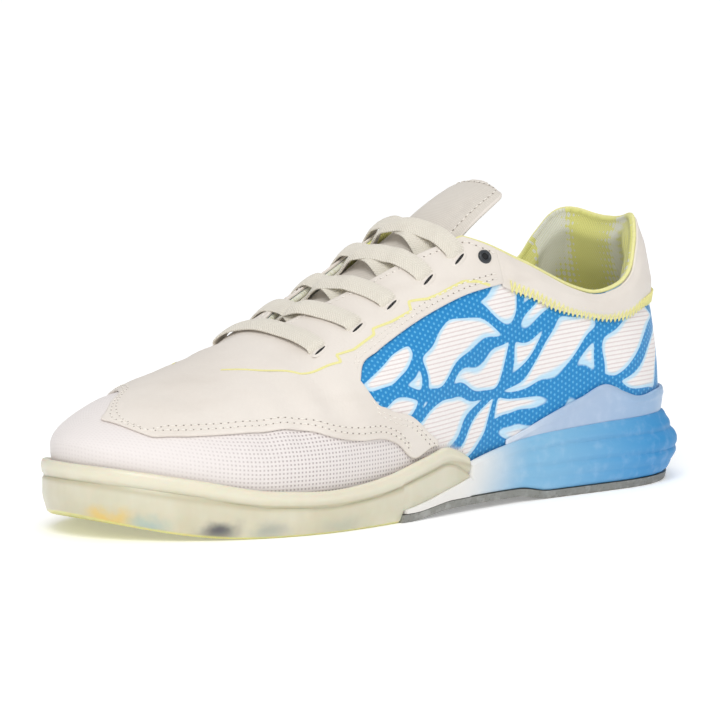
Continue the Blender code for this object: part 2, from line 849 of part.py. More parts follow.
def make_heel_outsole(finish):
    """Grey tread under heel and arch."""
    sheet = Sheet()
    rows = []
    for t in stations(0.0, last_at(CUP_START) - 2 * GAP / LAST_LENGTH):
        out = flare(t, tread_top(share(t)))
        edges = []
        for side in (-1, 1):
            edges.append([(rim_point(t, side, out - TREAD_TAPER, floor_line),
                           rim_point(t, side, out, tread_top))])
        rows.append(joined(edges, 4))
    sheet.grid(rows)
    piece = add_object("heel_outsole", *sheet.solid(), finish)
    cut_grooves(piece, HEEL_GROOVES)
    return piece


def cut_grooves(piece, places):
    """Cuts straight grooves across the lower face of a sole piece."""
    for number, place in enumerate(places):
        work = bmesh.new()
        bmesh.ops.create_cube(work, size=1.0)
        for vert in work.verts:
            vert.co.x *= GROOVE_WIDTH
            vert.co.y *= 1.4 * BALL
            vert.co.z *= 2 * GROOVE_DEPTH
        mesh = bpy.data.meshes.new(f"{piece.name}_groove_{number}")
        work.to_mesh(mesh)
        work.free()
        cutter = bpy.data.objects.new(mesh.name, mesh)
        bpy.context.scene.collection.objects.link(cutter)
        cutter.location = (HEEL_SEAT - place * LENGTH, 0.0, floor_line(place))
        cutter.hide_render = True
        cutter.display_type = "WIRE"
        cut = piece.modifiers.new(mesh.name, "BOOLEAN")
        cut.operation = "DIFFERENCE"
        cut.object = cutter


def make_insole(finish):
    """Flat insole on the foot bed, clear of the upper's lower edge."""
    sheet = Sheet()
    inset = TUCK + WALL + 2 * GAP
    rows = []
    for t in stations(0.0, 1.0):
        left, right = [rim_point(t, side, -inset, foot_bed) for side in (-1, 1)]
        flat = [left, *across(left, right, 4), right]
        rows.append([(point, point + np.array([0.0, 0.0, INSOLE])) for point in flat])
    sheet.grid(rows)
    return add_object("insole", *sheet.solid(), finish)


def beside_ridge(t, y, offset):
    """Point over the last beside its ridge line, at an offset from the surface."""
    side = -1 if y < 0 else 1
    return skin(t, side, distance_share(t, side, abs(y)), offset)


def make_tongue(finish):
    """Padded tongue under the throat, with a free end above the collar."""
    sheet = Sheet()
    top = -(WALL + 4 * GAP)
    end = last_at(THROAT_TOP)
    half = TONGUE_WIDTH / 2
    rows = []
    for t in reversed(stations(end, last_at(TONGUE_FRONT))):
        widths = [half * (i / 3 - 1) for i in range(7)]
        rows.append([(beside_ridge(t, y, top), beside_ridge(t, y, top - TONGUE))
                     for y in widths])
    base = rows[-1]
    run = (THROAT_TOP - TONGUE_TIP) * LENGTH
    for reach, width in ((0.25, 0.96), (0.5, 0.92), (0.75, 0.86), (0.93, 0.72), (1.0, 0.52)):
        row = []
        for outer, inner in base:
            pair = []
            for point in (outer, inner):
                centre = base[3][0 if point is outer else 1]
                moved = point + np.array([run * reach, 0.0, TONGUE_RISE * reach])
                moved[1] = middle(end) + (point[1] - middle(end)) * width
                moved[2] += (centre[2] - point[2]) * reach * 0.6
                pair.append(moved)
            row.append(tuple(pair))
        rows.append(row)
    sheet.grid(rows)
    return add_object("tongue", *sheet.solid(), finish)


def make_strap(name, route, finish):
    """Flat strap through points given as (share of the last, distance, offset)."""
    centres = [beside_ridge(*step) for step in route]
    ups = []
    for t, y, _ in route:
        side = -1 if y < 0 else 1
        ups.append(last_normal(t, side, distance_share(t, side, abs(y))))
    rows = []
    for i, centre in enumerate(centres):
        along = centres[min(i + 1, len(centres) - 1)] - centres[max(i - 1, 0)]
        aside = np.cross(along, ups[i])
        aside *= LACE_WIDTH / 2 / np.linalg.norm(aside)
        rise = ups[i] * LACE_THICKNESS / 2
        rows.append([(centre + aside * w + rise, centre + aside * w - rise)
                     for w in (-1, 1)])
    sheet = Sheet()
    sheet.grid(rows)
    return add_object(name, *sheet.solid(), finish)


def lace_lift():
    """Offset of a lace's middle line where it lies over the overlay."""
    return SHEET_GAP + OVERLAY + 3 * GAP + LACE_THICKNESS / 2


def lace_route(at, slit, slip_at, slip, count=10):
    """Route from a slit on one side to where the lace slips in on the other side."""
    over = lace_lift()
    under = -WALL / 2
    route = []
    for i in range(count + 1):
        u = i / count
        dip = smooth((u - 0.66) / 0.34)
        place = at + (slip_at - at) * u
        route.append((last_at(place), slit + (slip - slit) * u, over + (under - over) * dip))
    return route


def make_laces(finish):
    """Lowest bar, then one crossing for each further row of slits."""
    place, outer, inner = LACE_ROWS[0]
    bar = []
    for i in range(11):
        y = (-outer + (outer + inner) * i / 10) * BALL
        bar.append((last_at(place), y, lace_lift()))
    make_strap("lace_bar_1", bar, finish)
    for number, (at, outer, inner) in enumerate(LACE_ROWS[1:], start=2):
        slip_at = at + LACE_PITCH
        t = last_at(slip_at)
        slips = [(throat(t, side) - LACE_INSET) * side for side in (-1, 1)]
        over_route = lace_route(at, -outer * BALL, slip_at, slips[1])
        back_route = lace_route(at, inner * BALL, slip_at, slips[0])
        right = make_strap(f"lace_cross_{number}", over_route, finish)
        left = make_strap(f"lace_back_{number}", back_route, finish)
        left.location.z = -LACE_THICKNESS * 0.3
        left.hide_render = True
        left.display_type = "WIRE"
        union = right.modifiers.new("cross", "BOOLEAN")
        union.operation = "UNION"
        union.object = left


def drop_share(t, side, drop):
    """Row parameter p at a straight distance below the top edge."""
    low = BELLY_SHARE
    high = top_share(t, side)
    edge = last_point(t, side, high)
    for _ in range(30):
        p = (low + high) / 2
        if math.dist(last_point(t, side, p), edge) > drop:
            low = p
        else:
            high = p
    return low


def make_eyelet(name, side, finish):
    """Round ring around the spare lace hole behind the top slit."""
    t = last_at(EYELET_AT)
    p = drop_share(t, side, EYELET_DROP[side])
    up = last_normal(t, side, p)
    centre = skin(t, side, p, SHEET_GAP + OVERLAY + GAP)
    along = np.cross(up, np.array([0.0, 1.0, 0.0]))
    along /= np.linalg.norm(along)
    aside = np.cross(up, along)
    rows = []
    for i in range(13):
        angle = 2 * math.pi * (i % 12) / 12
        arm = along * math.cos(angle) + aside * math.sin(angle)
        hole = centre + arm * EYELET_HOLE / 2
        rim = centre + arm * (EYELET_HOLE / 2 + EYELET_RIM)
        rows.append([(hole + up * EYELET_THICKNESS, hole),
                     (rim + up * EYELET_THICKNESS * 0.6, rim)])
    sheet = Sheet()
    sheet.grid(rows)
    return add_object(name, *sheet.solid(), finish)


def main():
    """Builds every piece of the shoe."""
    for old in list(bpy.data.objects):
        bpy.data.objects.remove(old)
    smooth_white = material("smooth_white", (0.79, 0.73, 0.65), 0.5)
    mesh_white = material("mesh_white", (0.75, 0.78, 0.80), 0.8)
    clear_rubber = material("clear_rubber", (0.66, 0.64, 0.52), 0.35)
    grey_rubber = material("grey_rubber", (0.26, 0.26, 0.24), 0.6)
    clip_blue = material("clip_blue", (0.40, 0.51, 0.72), 0.45)
    foam = material("foam", (0.30, 0.58, 0.80), 0.55)
    lining = material("lining", (0.66, 0.64, 0.25), 0.85)
    lace_cloth = material("lace_cloth", (0.80, 0.75, 0.66), 0.8)
    black_metal = material("black_metal", (0.03, 0.03, 0.03), 0.4)
    make_upper(mesh_white)
    make_vamp_overlay(smooth_white)
    make_collar_band(smooth_white)
    make_heel_clip(clip_blue)
    make_cupsole(clear_rubber)
    make_heel_outsole(grey_rubber)
    make_midsole(foam)
    make_insole(lining)
    make_tongue(smooth_white)
    make_laces(lace_cloth)
    make_eyelet("eyelet_outer", -1, black_metal)
    make_eyelet("eyelet_inner", 1, black_metal)


main()
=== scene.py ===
"""Looks of a left indoor soccer shoe: cloth, synthetic leather, moulded foam and rubber.

The toe points to -X and the heel to +X, the outer side of the foot is -Y, and +Z is up.
Lengths along the shoe are measured from the rearmost point of the sole, forwards, and
places are such lengths as shares of the sole's length.
"""
import logging
import math
from dataclasses import dataclass, field
from enum import IntEnum
from typing import Any, Callable, Iterable, Sequence

import bmesh
import bpy
import numpy as np
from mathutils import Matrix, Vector


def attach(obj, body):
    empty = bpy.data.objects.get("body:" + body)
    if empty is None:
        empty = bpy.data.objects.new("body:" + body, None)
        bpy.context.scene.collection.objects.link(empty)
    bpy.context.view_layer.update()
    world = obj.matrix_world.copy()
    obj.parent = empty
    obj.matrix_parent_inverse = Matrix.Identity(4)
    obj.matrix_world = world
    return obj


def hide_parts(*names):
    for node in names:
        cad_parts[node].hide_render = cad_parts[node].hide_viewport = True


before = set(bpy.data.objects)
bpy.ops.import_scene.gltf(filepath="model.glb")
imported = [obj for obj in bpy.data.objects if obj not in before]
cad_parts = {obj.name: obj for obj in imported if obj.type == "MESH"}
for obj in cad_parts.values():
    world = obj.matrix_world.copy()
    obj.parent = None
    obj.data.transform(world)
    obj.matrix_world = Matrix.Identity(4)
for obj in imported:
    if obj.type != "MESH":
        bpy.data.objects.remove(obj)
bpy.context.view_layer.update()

LOG = logging.getLogger("shoe")
Array = np.ndarray
Colour = tuple[float, float, float]
Edge = Callable[[Array, int], Array]

ROOT = "root"
UV_NAME = "surface"
TINY = 1e-12            # smallest length that a vector is divided by
MERGE_STEP = 2e-6       # points of a sheet nearer than this become one
MERGE_SHIFT = 0.3719    # keeps round coordinates off the borders of these steps

# Sections of the last: share of its length, half widths on the outer and inner side and
# the ridge's shift (shares of the ball's width), ridge height (share of the instep's
# height), widest line above the foot bed (share of the heel's stack), roundness
SECTIONS = (
    (0.000, 0.340, 0.340, 0.000, 1.560, 0.83, 2.00),
    (0.100, 0.340, 0.340, 0.000, 1.530, 0.83, 2.00),
    (0.200, 0.350, 0.345, 0.005, 1.400, 0.82, 2.10),
    (0.300, 0.355, 0.335, 0.020, 1.215, 0.80, 2.20),
    (0.385, 0.370, 0.335, 0.035, 1.000, 0.78, 2.50),
    (0.450, 0.400, 0.350, 0.050, 0.898, 0.78, 2.40),
    (0.520, 0.440, 0.385, 0.065, 0.790, 0.76, 2.30),
    (0.600, 0.475, 0.430, 0.075, 0.688, 0.75, 2.20),
    (0.680, 0.500, 0.460, 0.080, 0.590, 0.75, 2.10),
    (0.760, 0.500, 0.480, 0.080, 0.528, 0.75, 2.00),
    (0.840, 0.485, 0.485, 0.075, 0.478, 0.76, 2.00),
    (0.920, 0.465, 0.475, 0.065, 0.420, 0.74, 2.00),
    (1.000, 0.440, 0.460, 0.050, 0.335, 0.68, 2.00),
)
# Lean of the centre back: share of the tab's height, forward shift (share of length)
BACK_LEAN = (
    (0.10, 0.0120), (0.18, 0.0060), (0.26, 0.0000), (0.34, -0.0028), (0.45, 0.0000),
    (0.60, 0.0091), (0.80, 0.0262), (1.00, 0.0437), (1.20, 0.0600),
)
# Collar edges: place, share of the tab's height, share of the instep's height
TOPLINE = (
    (0.030, 0.975, 0.000), (0.040, 0.994, 0.000), (0.060, 0.997, 0.000),
    (0.077, 0.969, 0.000), (0.092, 0.925, 0.000), (0.106, 0.884, 0.000), (0.125, 0.819, 0.000),
    (0.144, 0.784, 0.000), (0.173, 0.643, 0.105), (0.206, 0.446, 0.277),
    (0.249, 0.310, 0.432), (0.287, 0.165, 0.613), (0.335, 0.000, 0.831),
    (0.413, 0.000, 0.921), (0.500, 0.000, 0.986),
)
BAND_LOW = (
    (0.030, 0.700, 0.000), (0.110, 0.680, 0.000), (0.157, 0.648, 0.000),
    (0.190, 0.486, 0.151), (0.220, 0.332, 0.308), (0.287, 0.178, 0.498),
    (0.322, 0.000, 0.706), (0.381, 0.000, 0.758),
)
# Edges: place, height as a share of the named size
CLIP_TOP = (
    (0.030, 1.90), (0.085, 1.90), (0.140, 1.86), (0.166, 2.00), (0.194, 2.17),
    (0.240, 1.97), (0.301, 1.67), (0.362, 1.36), (0.385, 1.26),
)
LIP_TOP = (
    (0.000, 1.46), (0.107, 1.46), (0.231, 1.43), (0.304, 1.36), (0.362, 1.24),
    (0.448, 0.98), (0.470, 0.90),
)
CUP_RIM = (
    (0.455, 1.80), (0.480, 2.18), (0.510, 2.38), (0.531, 2.25), (0.563, 2.05),
    (0.610, 1.75), (0.664, 1.55), (0.717, 1.45), (0.797, 1.58), (0.892, 1.80),
    (0.955, 1.70), (1.000, 1.48),
)
WING_LOW = ((0.455, 1.32), (0.500, 1.02), (0.563, 0.62), (0.585, 0.52), (0.600, 0.48))
SEAM_LOW = (
    (0.440, 0.235), (0.530, 0.245), (0.572, 0.222), (0.590, 0.262), (0.615, 0.292),
    (0.661, 0.300), (0.703, 0.318), (0.738, 0.346), (0.801, 0.350), (0.857, 0.333),
    (0.899, 0.312), (0.930, 0.300), (0.944, 0.318),
)
MESH_TOP = (
    (0.370, 0.757), (0.430, 0.729), (0.481, 0.687), (0.556, 0.607), (0.587, 0.570),
    (0.622, 0.519), (0.6346, 0.478),
)
MESH_LOW = (
    (0.440, 0.168), (0.491, 0.215), (0.531, 0.276), (0.566, 0.346), (0.608, 0.383),
    (0.628, 0.425), (0.6346, 0.478),
)
# Side of the foam: share of the heel's stack, overhang beside and behind (shares of length)
FLARES = (
    (0.20, 0.0100, 0.0040), (0.45, 0.0117, 0.0120), (0.72, 0.0122, 0.0175),
    (0.95, 0.0115, 0.0160), (1.17, 0.0098, 0.0090), (1.46, 0.0080, 0.0010),
)
# Lacing: place, distance of the slit from the ridge on the outer and inner side (shares
# of the ball's width)
LACE_ROWS = (
    (0.652, 0.31, 0.24), (0.591, 0.31, 0.24), (0.533, 0.30, 0.23), (0.472, 0.29, 0.22),
    (0.420, 0.28, 0.21),
)
HEEL_GROOVES = (0.075, 0.175, 0.225, 0.275)
FORE_GROOVES = (0.625, 0.665, 0.765, 0.815, 0.865)

# Soft creases of the upper: place, side (0 is both), rows from and to (shares of the
# height from widest line to ridge), slant in place over these rows, depth and half width
# in metres
CREASES = (
    (0.705, 0, 0.10, 0.95, -0.034, 0.00085, 0.0052),
    (0.752, 0, 0.05, 0.85, -0.026, 0.00070, 0.0047),
    (0.800, -1, 0.05, 0.60, -0.020, 0.00045, 0.0042),
    (0.668, -1, 0.00, 0.55, 0.020, 0.00050, 0.0040),
    (0.560, 1, 0.10, 0.60, -0.020, 0.00050, 0.0050),
    (0.330, 0, 0.15, 0.80, 0.025, 0.00055, 0.0050),
    (0.235, 0, 0.30, 0.75, -0.020, 0.00050, 0.0045),
    (0.840, 0, 0.35, 0.95, 0.018, 0.00035, 0.0050),
)


class Side(IntEnum):
    """Side of the foot, as the sign of Y."""

    OUTER = -1
    INNER = 1


def smooth(u: Array | float) -> Array:
    """Eases from 0 to 1 as u runs from 0 to 1."""
    u = np.clip(u, 0.0, 1.0)
    return u * u * (3 - 2 * u)


def unit(vectors: Array) -> Array:
    """Vectors of length 1 in the same directions."""
    return vectors / np.maximum(np.linalg.norm(vectors, axis=-1, keepdims=True), TINY)


def lengths(line: Array) -> Array:
    """Distance along a line of points, at each of them."""
    steps = np.linalg.norm(np.diff(line, axis=0), axis=-1)
    return np.concatenate([[0.0], np.cumsum(steps)])


def profile(rows: Sequence[Sequence[float]], at: Array, column: int = 1) -> Array:
    """Reads a smooth curve through one column of a table, held level past its ends.

    Args:
        rows: table whose first column is the position.
        at: positions to read.
        column: column that is read.

    Returns:
        The values at the positions.
    """
    table = np.array(rows)
    knots, values = table[:, 0], table[:, column]
    at = np.clip(at, knots[0], knots[-1])
    slopes = np.gradient(values, knots)
    i = np.clip(np.searchsorted(knots, at, side="right") - 1, 0, len(knots) - 2)
    step = knots[i + 1] - knots[i]
    u = (at - knots[i]) / step
    rise = (2 * u ** 3 - 3 * u ** 2 + 1) * values[i] + (3 * u ** 2 - 2 * u ** 3) * values[i + 1]
    bend = (u ** 3 - 2 * u ** 2 + u) * slopes[i] + (u ** 3 - u ** 2) * slopes[i + 1]
    return rise + bend * step


@dataclass(frozen=True)
class Last:
    """The foot-shaped form that every sheet of the upper follows, and its heights."""

    length: float = 0.286
    ball: float = 0.100
    instep: float = 0.107
    tab_height: float = 0.0995
    heel_stack: float = 0.018
    fore_stack: float = 0.010
    toe_spring: float = 0.012
    sole_spring: float = 0.0102
    arch_lift: float = 0.0022
    heel_bevel: float = 0.0035
    back_clear: float = 0.0297
    toe_clear: float = 0.9825
    throat_top: float = 0.4126
    throat_front: float = 0.6538
    collar_front: float = 0.36
    heel_cap: float = 0.15
    toe_cap: float = 0.70
    belly_share: float = 0.16
    tuck: float = 0.003
    throat_widths: tuple = ((0.13, 0.10), (0.11, 0.05))

    @property
    def heel_seat(self) -> float:
        """Distance of the frame's origin from the rearmost point of the sole."""
        return 0.1224 * self.length

    @property
    def start(self) -> float:
        """Rearmost point of the last."""
        return self.back_clear * self.length

    @property
    def run(self) -> float:
        """Length of the last."""
        return (self.toe_clear - self.back_clear) * self.length

    def share(self, t: Array) -> Array:
        """Place at a share of the last."""
        return (self.start + self.run * t) / self.length

    def at(self, place: Array) -> Array:
        """Share of the last at a place."""
        return (place * self.length - self.start) / self.run

    def place_of(self, points: Array) -> Array:
        """Place of points along the shoe."""
        return (self.heel_seat - points[..., 0]) / self.length

    def spring(self, place: Array) -> Array:
        """Lift of the sole towards the toe."""
        return self.toe_spring * np.maximum(0.0, (place - 0.80) / 0.20) ** 1.7

    def foot_bed(self, place: Array) -> Array:
        """Height of the surface that the upper's lower edge stands on."""
        fall = smooth((place - 0.10) / 0.55)
        return self.heel_stack + (self.fore_stack - self.heel_stack) * fall + self.spring(place)

    def floor_line(self, place: Array) -> Array:
        """Height of the sole's lowest face."""
        arch = smooth((place - 0.30) / 0.06) * smooth((0.575 - place) / 0.08)
        bevel = np.maximum(0.0, (0.045 - place) / 0.045)
        lift = self.sole_spring * np.maximum(0.0, (place - 0.80) / 0.20) ** 2.2
        return self.arch_lift * arch + self.heel_bevel * bevel ** 1.5 + lift

    def rounding(self, t: Array) -> Array:
        """Share of the full half width that the heel and toe caps leave."""
        heel = np.clip((self.heel_cap - t) / self.heel_cap, 0.0, 1.0)
        toe = np.clip((t - self.toe_cap) / (1 - self.toe_cap), 0.0, 1.0)
        return (1 - heel ** 2.2) ** (1 / 2.2) * (1 - toe ** 2.05) ** (1 / 2.05)

    def middle(self, t: Array) -> Array:
        """Shift of the ridge line to the inner side."""
        return profile(SECTIONS, t, 3) * self.ball

    def half_width(self, t: Array, side: int) -> Array:
        """Half width of the last from its ridge line, at its widest height."""
        width = profile(SECTIONS, t, 1 if side < 0 else 2) * self.ball
        return (width - side * self.middle(t)) * self.rounding(t)

    def belly(self, t: Array) -> Array:
        """Height of the widest line of the last."""
        return self.foot_bed(self.share(t)) + profile(SECTIONS, t, 5) * self.heel_stack

    def ridge(self, t: Array) -> Array:
        """Height of the ridge, which comes down to the widest line at the toe."""
        top = profile(SECTIONS, t, 4) * self.instep + self.spring(self.share(t))
        droop = np.clip((t - 0.80) / 0.20, 0.0, 1.0)
        return self.belly(t) + (top - self.belly(t)) * (1 - droop ** 2.3) ** (1 / 2.3)

    def lean(self, t: Array, z: Array) -> Array:
        """Forward shift of the heel's back at a height, fading out along the sides."""
        amount = profile(BACK_LEAN, z / self.tab_height) * self.length
        return amount * (1 - np.minimum(t / self.heel_cap, 1.0))

    def point(self, t: Array, side: int, p: Array) -> Array:
        """Points of the last's surface.

        Args:
            t: share of the last.
            side: sign of the side of the foot.
            p: row, 0 at the lower edge, belly_share at the widest line, 1 at the ridge.

        Returns:
            Points, with one more axis of three.
        """
        t, p = np.broadcast_arrays(np.asarray(t, float), np.asarray(p, float))
        low = self.foot_bed(self.share(t))
        wide = self.belly(t)
        width = self.half_width(t, side)
        tuck = self.tuck * np.minimum(1.0, width / (4 * self.tuck))
        below = p < self.belly_share
        turn = np.clip(p / self.belly_share, 0.0, 1.0) * math.pi / 2
        y_low = width - tuck * (1 - np.sin(turn))
        z_low = wide - (wide - low) * np.cos(turn)
        pull = np.where(below, self.tuck * (1 - np.sin(turn)), 0.0)
        over = np.clip((p - self.belly_share) / (1 - self.belly_share), 0.0, 1.0) * math.pi / 2
        power = 2 / profile(SECTIONS, t, 6)
        y_high = width * np.maximum(np.cos(over), 0.0) ** power
        z_high = wide + (self.ridge(t) - wide) * np.sin(over) ** power
        y = np.where(below, y_low, y_high)
        z = np.where(below, z_low, z_high)
        ends = np.maximum(0.0, 1 - t / self.heel_cap) - np.maximum(0.0, (t - 0.85) / 0.15)
        s = self.start + self.run * t + self.lean(t, z) + pull * ends
        return np.stack([self.heel_seat - s, self.middle(t) + side * y, z], -1)

    def blend_in(self, t: Array) -> Array:
        """Parameter whose step is even around the heel and toe caps."""
        heel = np.clip(1 - t / self.heel_cap, -1.0, 1.0)
        toe = np.clip((t - self.toe_cap) / (1 - self.toe_cap), 0.0, 1.0)
        at_heel = self.heel_cap * np.arccos(heel) / (math.pi / 2)
        at_toe = self.toe_cap + (1 - self.toe_cap) * np.arcsin(toe) / (math.pi / 2)
        return np.where(t < self.heel_cap, at_heel, np.where(t > self.toe_cap, at_toe, t))

    def blend_out(self, a: Array) -> Array:
        """Share of the last for the parameter of blend_in."""
        a = np.clip(a, 0.0, 1.0)
        heel = self.heel_cap * (1 - np.cos(np.clip(a / self.heel_cap, 0, 1) * math.pi / 2))
        turn = np.clip((a - self.toe_cap) / (1 - self.toe_cap), 0, 1) * math.pi / 2
        toe = self.toe_cap + (1 - self.toe_cap) * np.sin(turn)
        return np.where(a < self.heel_cap, heel, np.where(a > self.toe_cap, toe, a))

    def normal(self, t: Array, side: int, p: Array) -> Array:
        """Outward directions of the last's surface."""
        t, p = np.broadcast_arrays(np.asarray(t, float), np.asarray(p, float))
        a = self.blend_in(t)
        after = self.blend_out(np.minimum(a + 0.0015, 1.0))
        before = self.blend_out(np.maximum(a - 0.0015, 0.0))
        along = self.point(after, side, p) - self.point(before, side, p)
        along[a < 1e-6] = (0.0, side, 0.0)
        low = p < self.belly_share
        p0 = np.maximum(p - 0.004, np.where(low, 0.0, self.belly_share))
        p1 = np.minimum(p + 0.004, np.where(low, self.belly_share, 1.0))
        up = self.point(t, side, p1) - self.point(t, side, p0)
        up[p > 1 - 1e-6] = (0.0, -side, 0.0)
        normal = unit(np.cross(along, up) * side)
        normal[t > 0.9999] = (-1.0, 0.0, 0.0)
        return normal

    def crease(self, t: Array, side: int, p: Array) -> Array:
        """Depth of the upper's soft creases, as an offset below the surface."""
        t, p = np.broadcast_arrays(np.asarray(t, float), np.asarray(p, float))
        row = (p - self.belly_share) / (1 - self.belly_share)
        depth = np.zeros_like(t)
        for place, sides, low, high, slant, deep, wide in CREASES:
            if sides in (0, side):
                along = (row - low) / (high - low)
                centre = place + slant * along
                apart = (self.share(t) - centre) * self.length / wide
                fade = smooth(along / 0.3) * smooth((1 - along) / 0.3)
                trough = np.exp(-apart ** 2)
                ridges = 0.45 * np.exp(-(np.abs(apart) - 1.9) ** 2)
                depth -= deep * fade * (trough - ridges)
        return depth

    def skin(self, t: Array, side: int, p: Array, offset: Array | float) -> Array:
        """Points at a distance outside the last's surface, creases included."""
        t, p = np.broadcast_arrays(np.asarray(t, float), np.asarray(p, float))
        lift = np.asarray(offset + self.crease(t, side, p))[..., None]
        return self.point(t, side, p) + self.normal(t, side, p) * lift

    def height_row(self, t: Array, z: Array) -> Array:
        """Row at which the last's surface has a height."""
        low = self.foot_bed(self.share(t))
        wide = self.belly(t)
        down = np.clip((wide - z) / (wide - low), 0.0, 1.0)
        below = self.belly_share * np.arccos(down) / (math.pi / 2)
        power = profile(SECTIONS, t, 6) / 2
        up = np.clip((z - wide) / np.maximum(self.ridge(t) - wide, 1e-6), 0.0, 1.0)
        above = np.arcsin(up ** power) / (math.pi / 2)
        return np.where(z < wide, below, self.belly_share + (1 - self.belly_share) * above)

    def distance_row(self, t: Array, side: int, distance: Array) -> Array:
        """Row at a distance beside the ridge line."""
        power = profile(SECTIONS, t, 6) / 2
        ratio = np.clip(distance / np.maximum(self.half_width(t, side), 1e-6), 0.0, 1.0)
        angle = np.arccos(ratio ** power) / (math.pi / 2)
        return self.belly_share + (1 - self.belly_share) * angle

    def throat(self, t: Array, side: int) -> Array:
        """Half width of the throat beside the ridge line, none in front of it."""
        span = self.throat_front - self.throat_top
        u = np.clip((self.throat_front - self.share(t)) / span, 0.0, 1.6)
        wide, more = self.throat_widths[0 if side < 0 else 1]
        return self.ball * (wide * u ** 0.3 + more * u)

    def collar_height(self, rows: Sequence[Sequence[float]], place: Array) -> Array:
        """Height of an edge of the collar."""
        return profile(rows, place, 1) * self.tab_height + profile(rows, place, 2) * self.instep

    def top_row(self, t: Array, side: int) -> Array:
        """Row of the upper's top edge: collar line, throat or closed ridge."""
        t = np.asarray(t, float)
        place = self.share(t)
        collar = self.height_row(t, self.collar_height(TOPLINE, place))
        open_row = self.distance_row(t, side, self.throat(t, side))
        row = np.where(place < self.collar_front, collar, np.minimum(collar, open_row))
        return np.where(place >= self.throat_front - 1e-6, 1.0, row)

    def edge_row(self, rows: Sequence[Sequence[float]], size: float, t: Array) -> Array:
        """Row of an edge given by a height table."""
        place = self.share(t)
        return self.height_row(t, profile(rows, place) * size + self.spring(place))

    def row_length(self, t: Array, side: int, p: Array) -> Array:
        """Length on the surface for each unit of row, at a point."""
        step = 0.004
        rise = self.point(t, side, np.minimum(p + step, 1.0)) - self.point(t, side, p - step)
        return np.maximum(np.linalg.norm(rise, axis=-1) / (2 * step), 1e-4)

    def run_length(self, t: Array, side: int, p: Array) -> Array:
        """Length on the surface for each unit of the share t, at a point."""
        step = 0.002
        ahead = self.point(np.minimum(t + step, 1.0), side, p)
        behind = self.point(np.maximum(t - step, 0.0), side, p)
        return np.maximum(np.linalg.norm(ahead - behind, axis=-1) / (2 * step), 1e-4)

    def rim(self, t: Array, side: int, offset: Array | float) -> Array:
        """Points beside the last's widest outline, seen from above.

        Args:
            t: share of the last.
            side: sign of the side of the foot.
            offset: distance outwards.

        Returns:
            Lengths along the shoe and Y values, with one more axis of two.
        """
        t, offset = np.broadcast_arrays(np.asarray(t, float), np.asarray(offset, float))
        a = self.blend_in(t)
        line = []
        for step in (-0.002, 0.002):
            u = self.blend_out(np.clip(a + step, 0.0, 1.0))
            line.append(np.stack([self.start + self.run * u,
                                  self.middle(u) + side * self.half_width(u, side)], -1))
        along = line[1] - line[0]
        along[t < 1e-6] = (0.0, side)
        along[t > 1 - 1e-6] = (0.0, -side)
        along = unit(along)
        out = np.stack([-along[..., 1], along[..., 0]], -1) * side
        s = self.start + self.run * t + out[..., 0] * offset
        y = self.middle(t) + side * self.half_width(t, side) + out[..., 1] * offset
        return np.stack([s, y], -1)

    def rim_point(self, t: Array, side: int, offset: Array | float, z: Any) -> Array:
        """Points beside the widest outline at heights, or at a height that follows the place."""
        flat = self.rim(t, side, offset)
        height = (z(flat[..., 0] / self.length) if callable(z)
                  else np.broadcast_to(z, flat.shape[:-1]))
        return np.stack([self.heel_seat - flat[..., 0], flat[..., 1], height], -1)


@dataclass
class SurfaceMap:
    """Lengths measured on the last, for patterns that follow it.

    Each side of the foot has u from the centre back, negative on the outer side, and v up
    from the lower edge, both in metres.
    """

    last: Last
    along: int = 240
    rows: int = 120
    tables: dict = field(default_factory=dict)

    def __post_init__(self) -> None:
        """Measures both sides once."""
        a = np.linspace(0, 1, self.along)
        p = np.linspace(0, 1, self.rows)
        t = self.last.blend_out(a)
        for side in Side:
            points = self.last.point(t[:, None], side, p[None, :])
            girth = np.linalg.norm(np.diff(points, axis=1), axis=-1)
            v = np.concatenate([np.zeros((self.along, 1)), np.cumsum(girth, 1)], 1)
            line = self.last.point(t, side, np.full_like(t, self.last.belly_share))
            self.tables[side] = (lengths(line), v)

    def uv(self, t: Array, side: int, p: Array) -> Array:
        """Pattern coordinates of points given by share and row."""
        t, p = np.broadcast_arrays(np.asarray(t, float), np.asarray(p, float))
        u_line, v_grid = self.tables[side]
        a = np.clip(self.last.blend_in(t), 0, 1) * (self.along - 1)
        b = np.clip(p, 0, 1) * (self.rows - 1)
        i = np.clip(a.astype(int), 0, self.along - 2)
        j = np.clip(b.astype(int), 0, self.rows - 2)
        fa, fb = a - i, b - j
        v = ((1 - fa) * ((1 - fb) * v_grid[i, j] + fb * v_grid[i, j + 1])
             + fa * ((1 - fb) * v_grid[i + 1, j] + fb * v_grid[i + 1, j + 1]))
        u = (1 - fa) * u_line[i] + fa * u_line[i + 1]
        return np.stack([side * u, v], -1)


LAST = Last()
SURFACE = SurfaceMap(LAST)


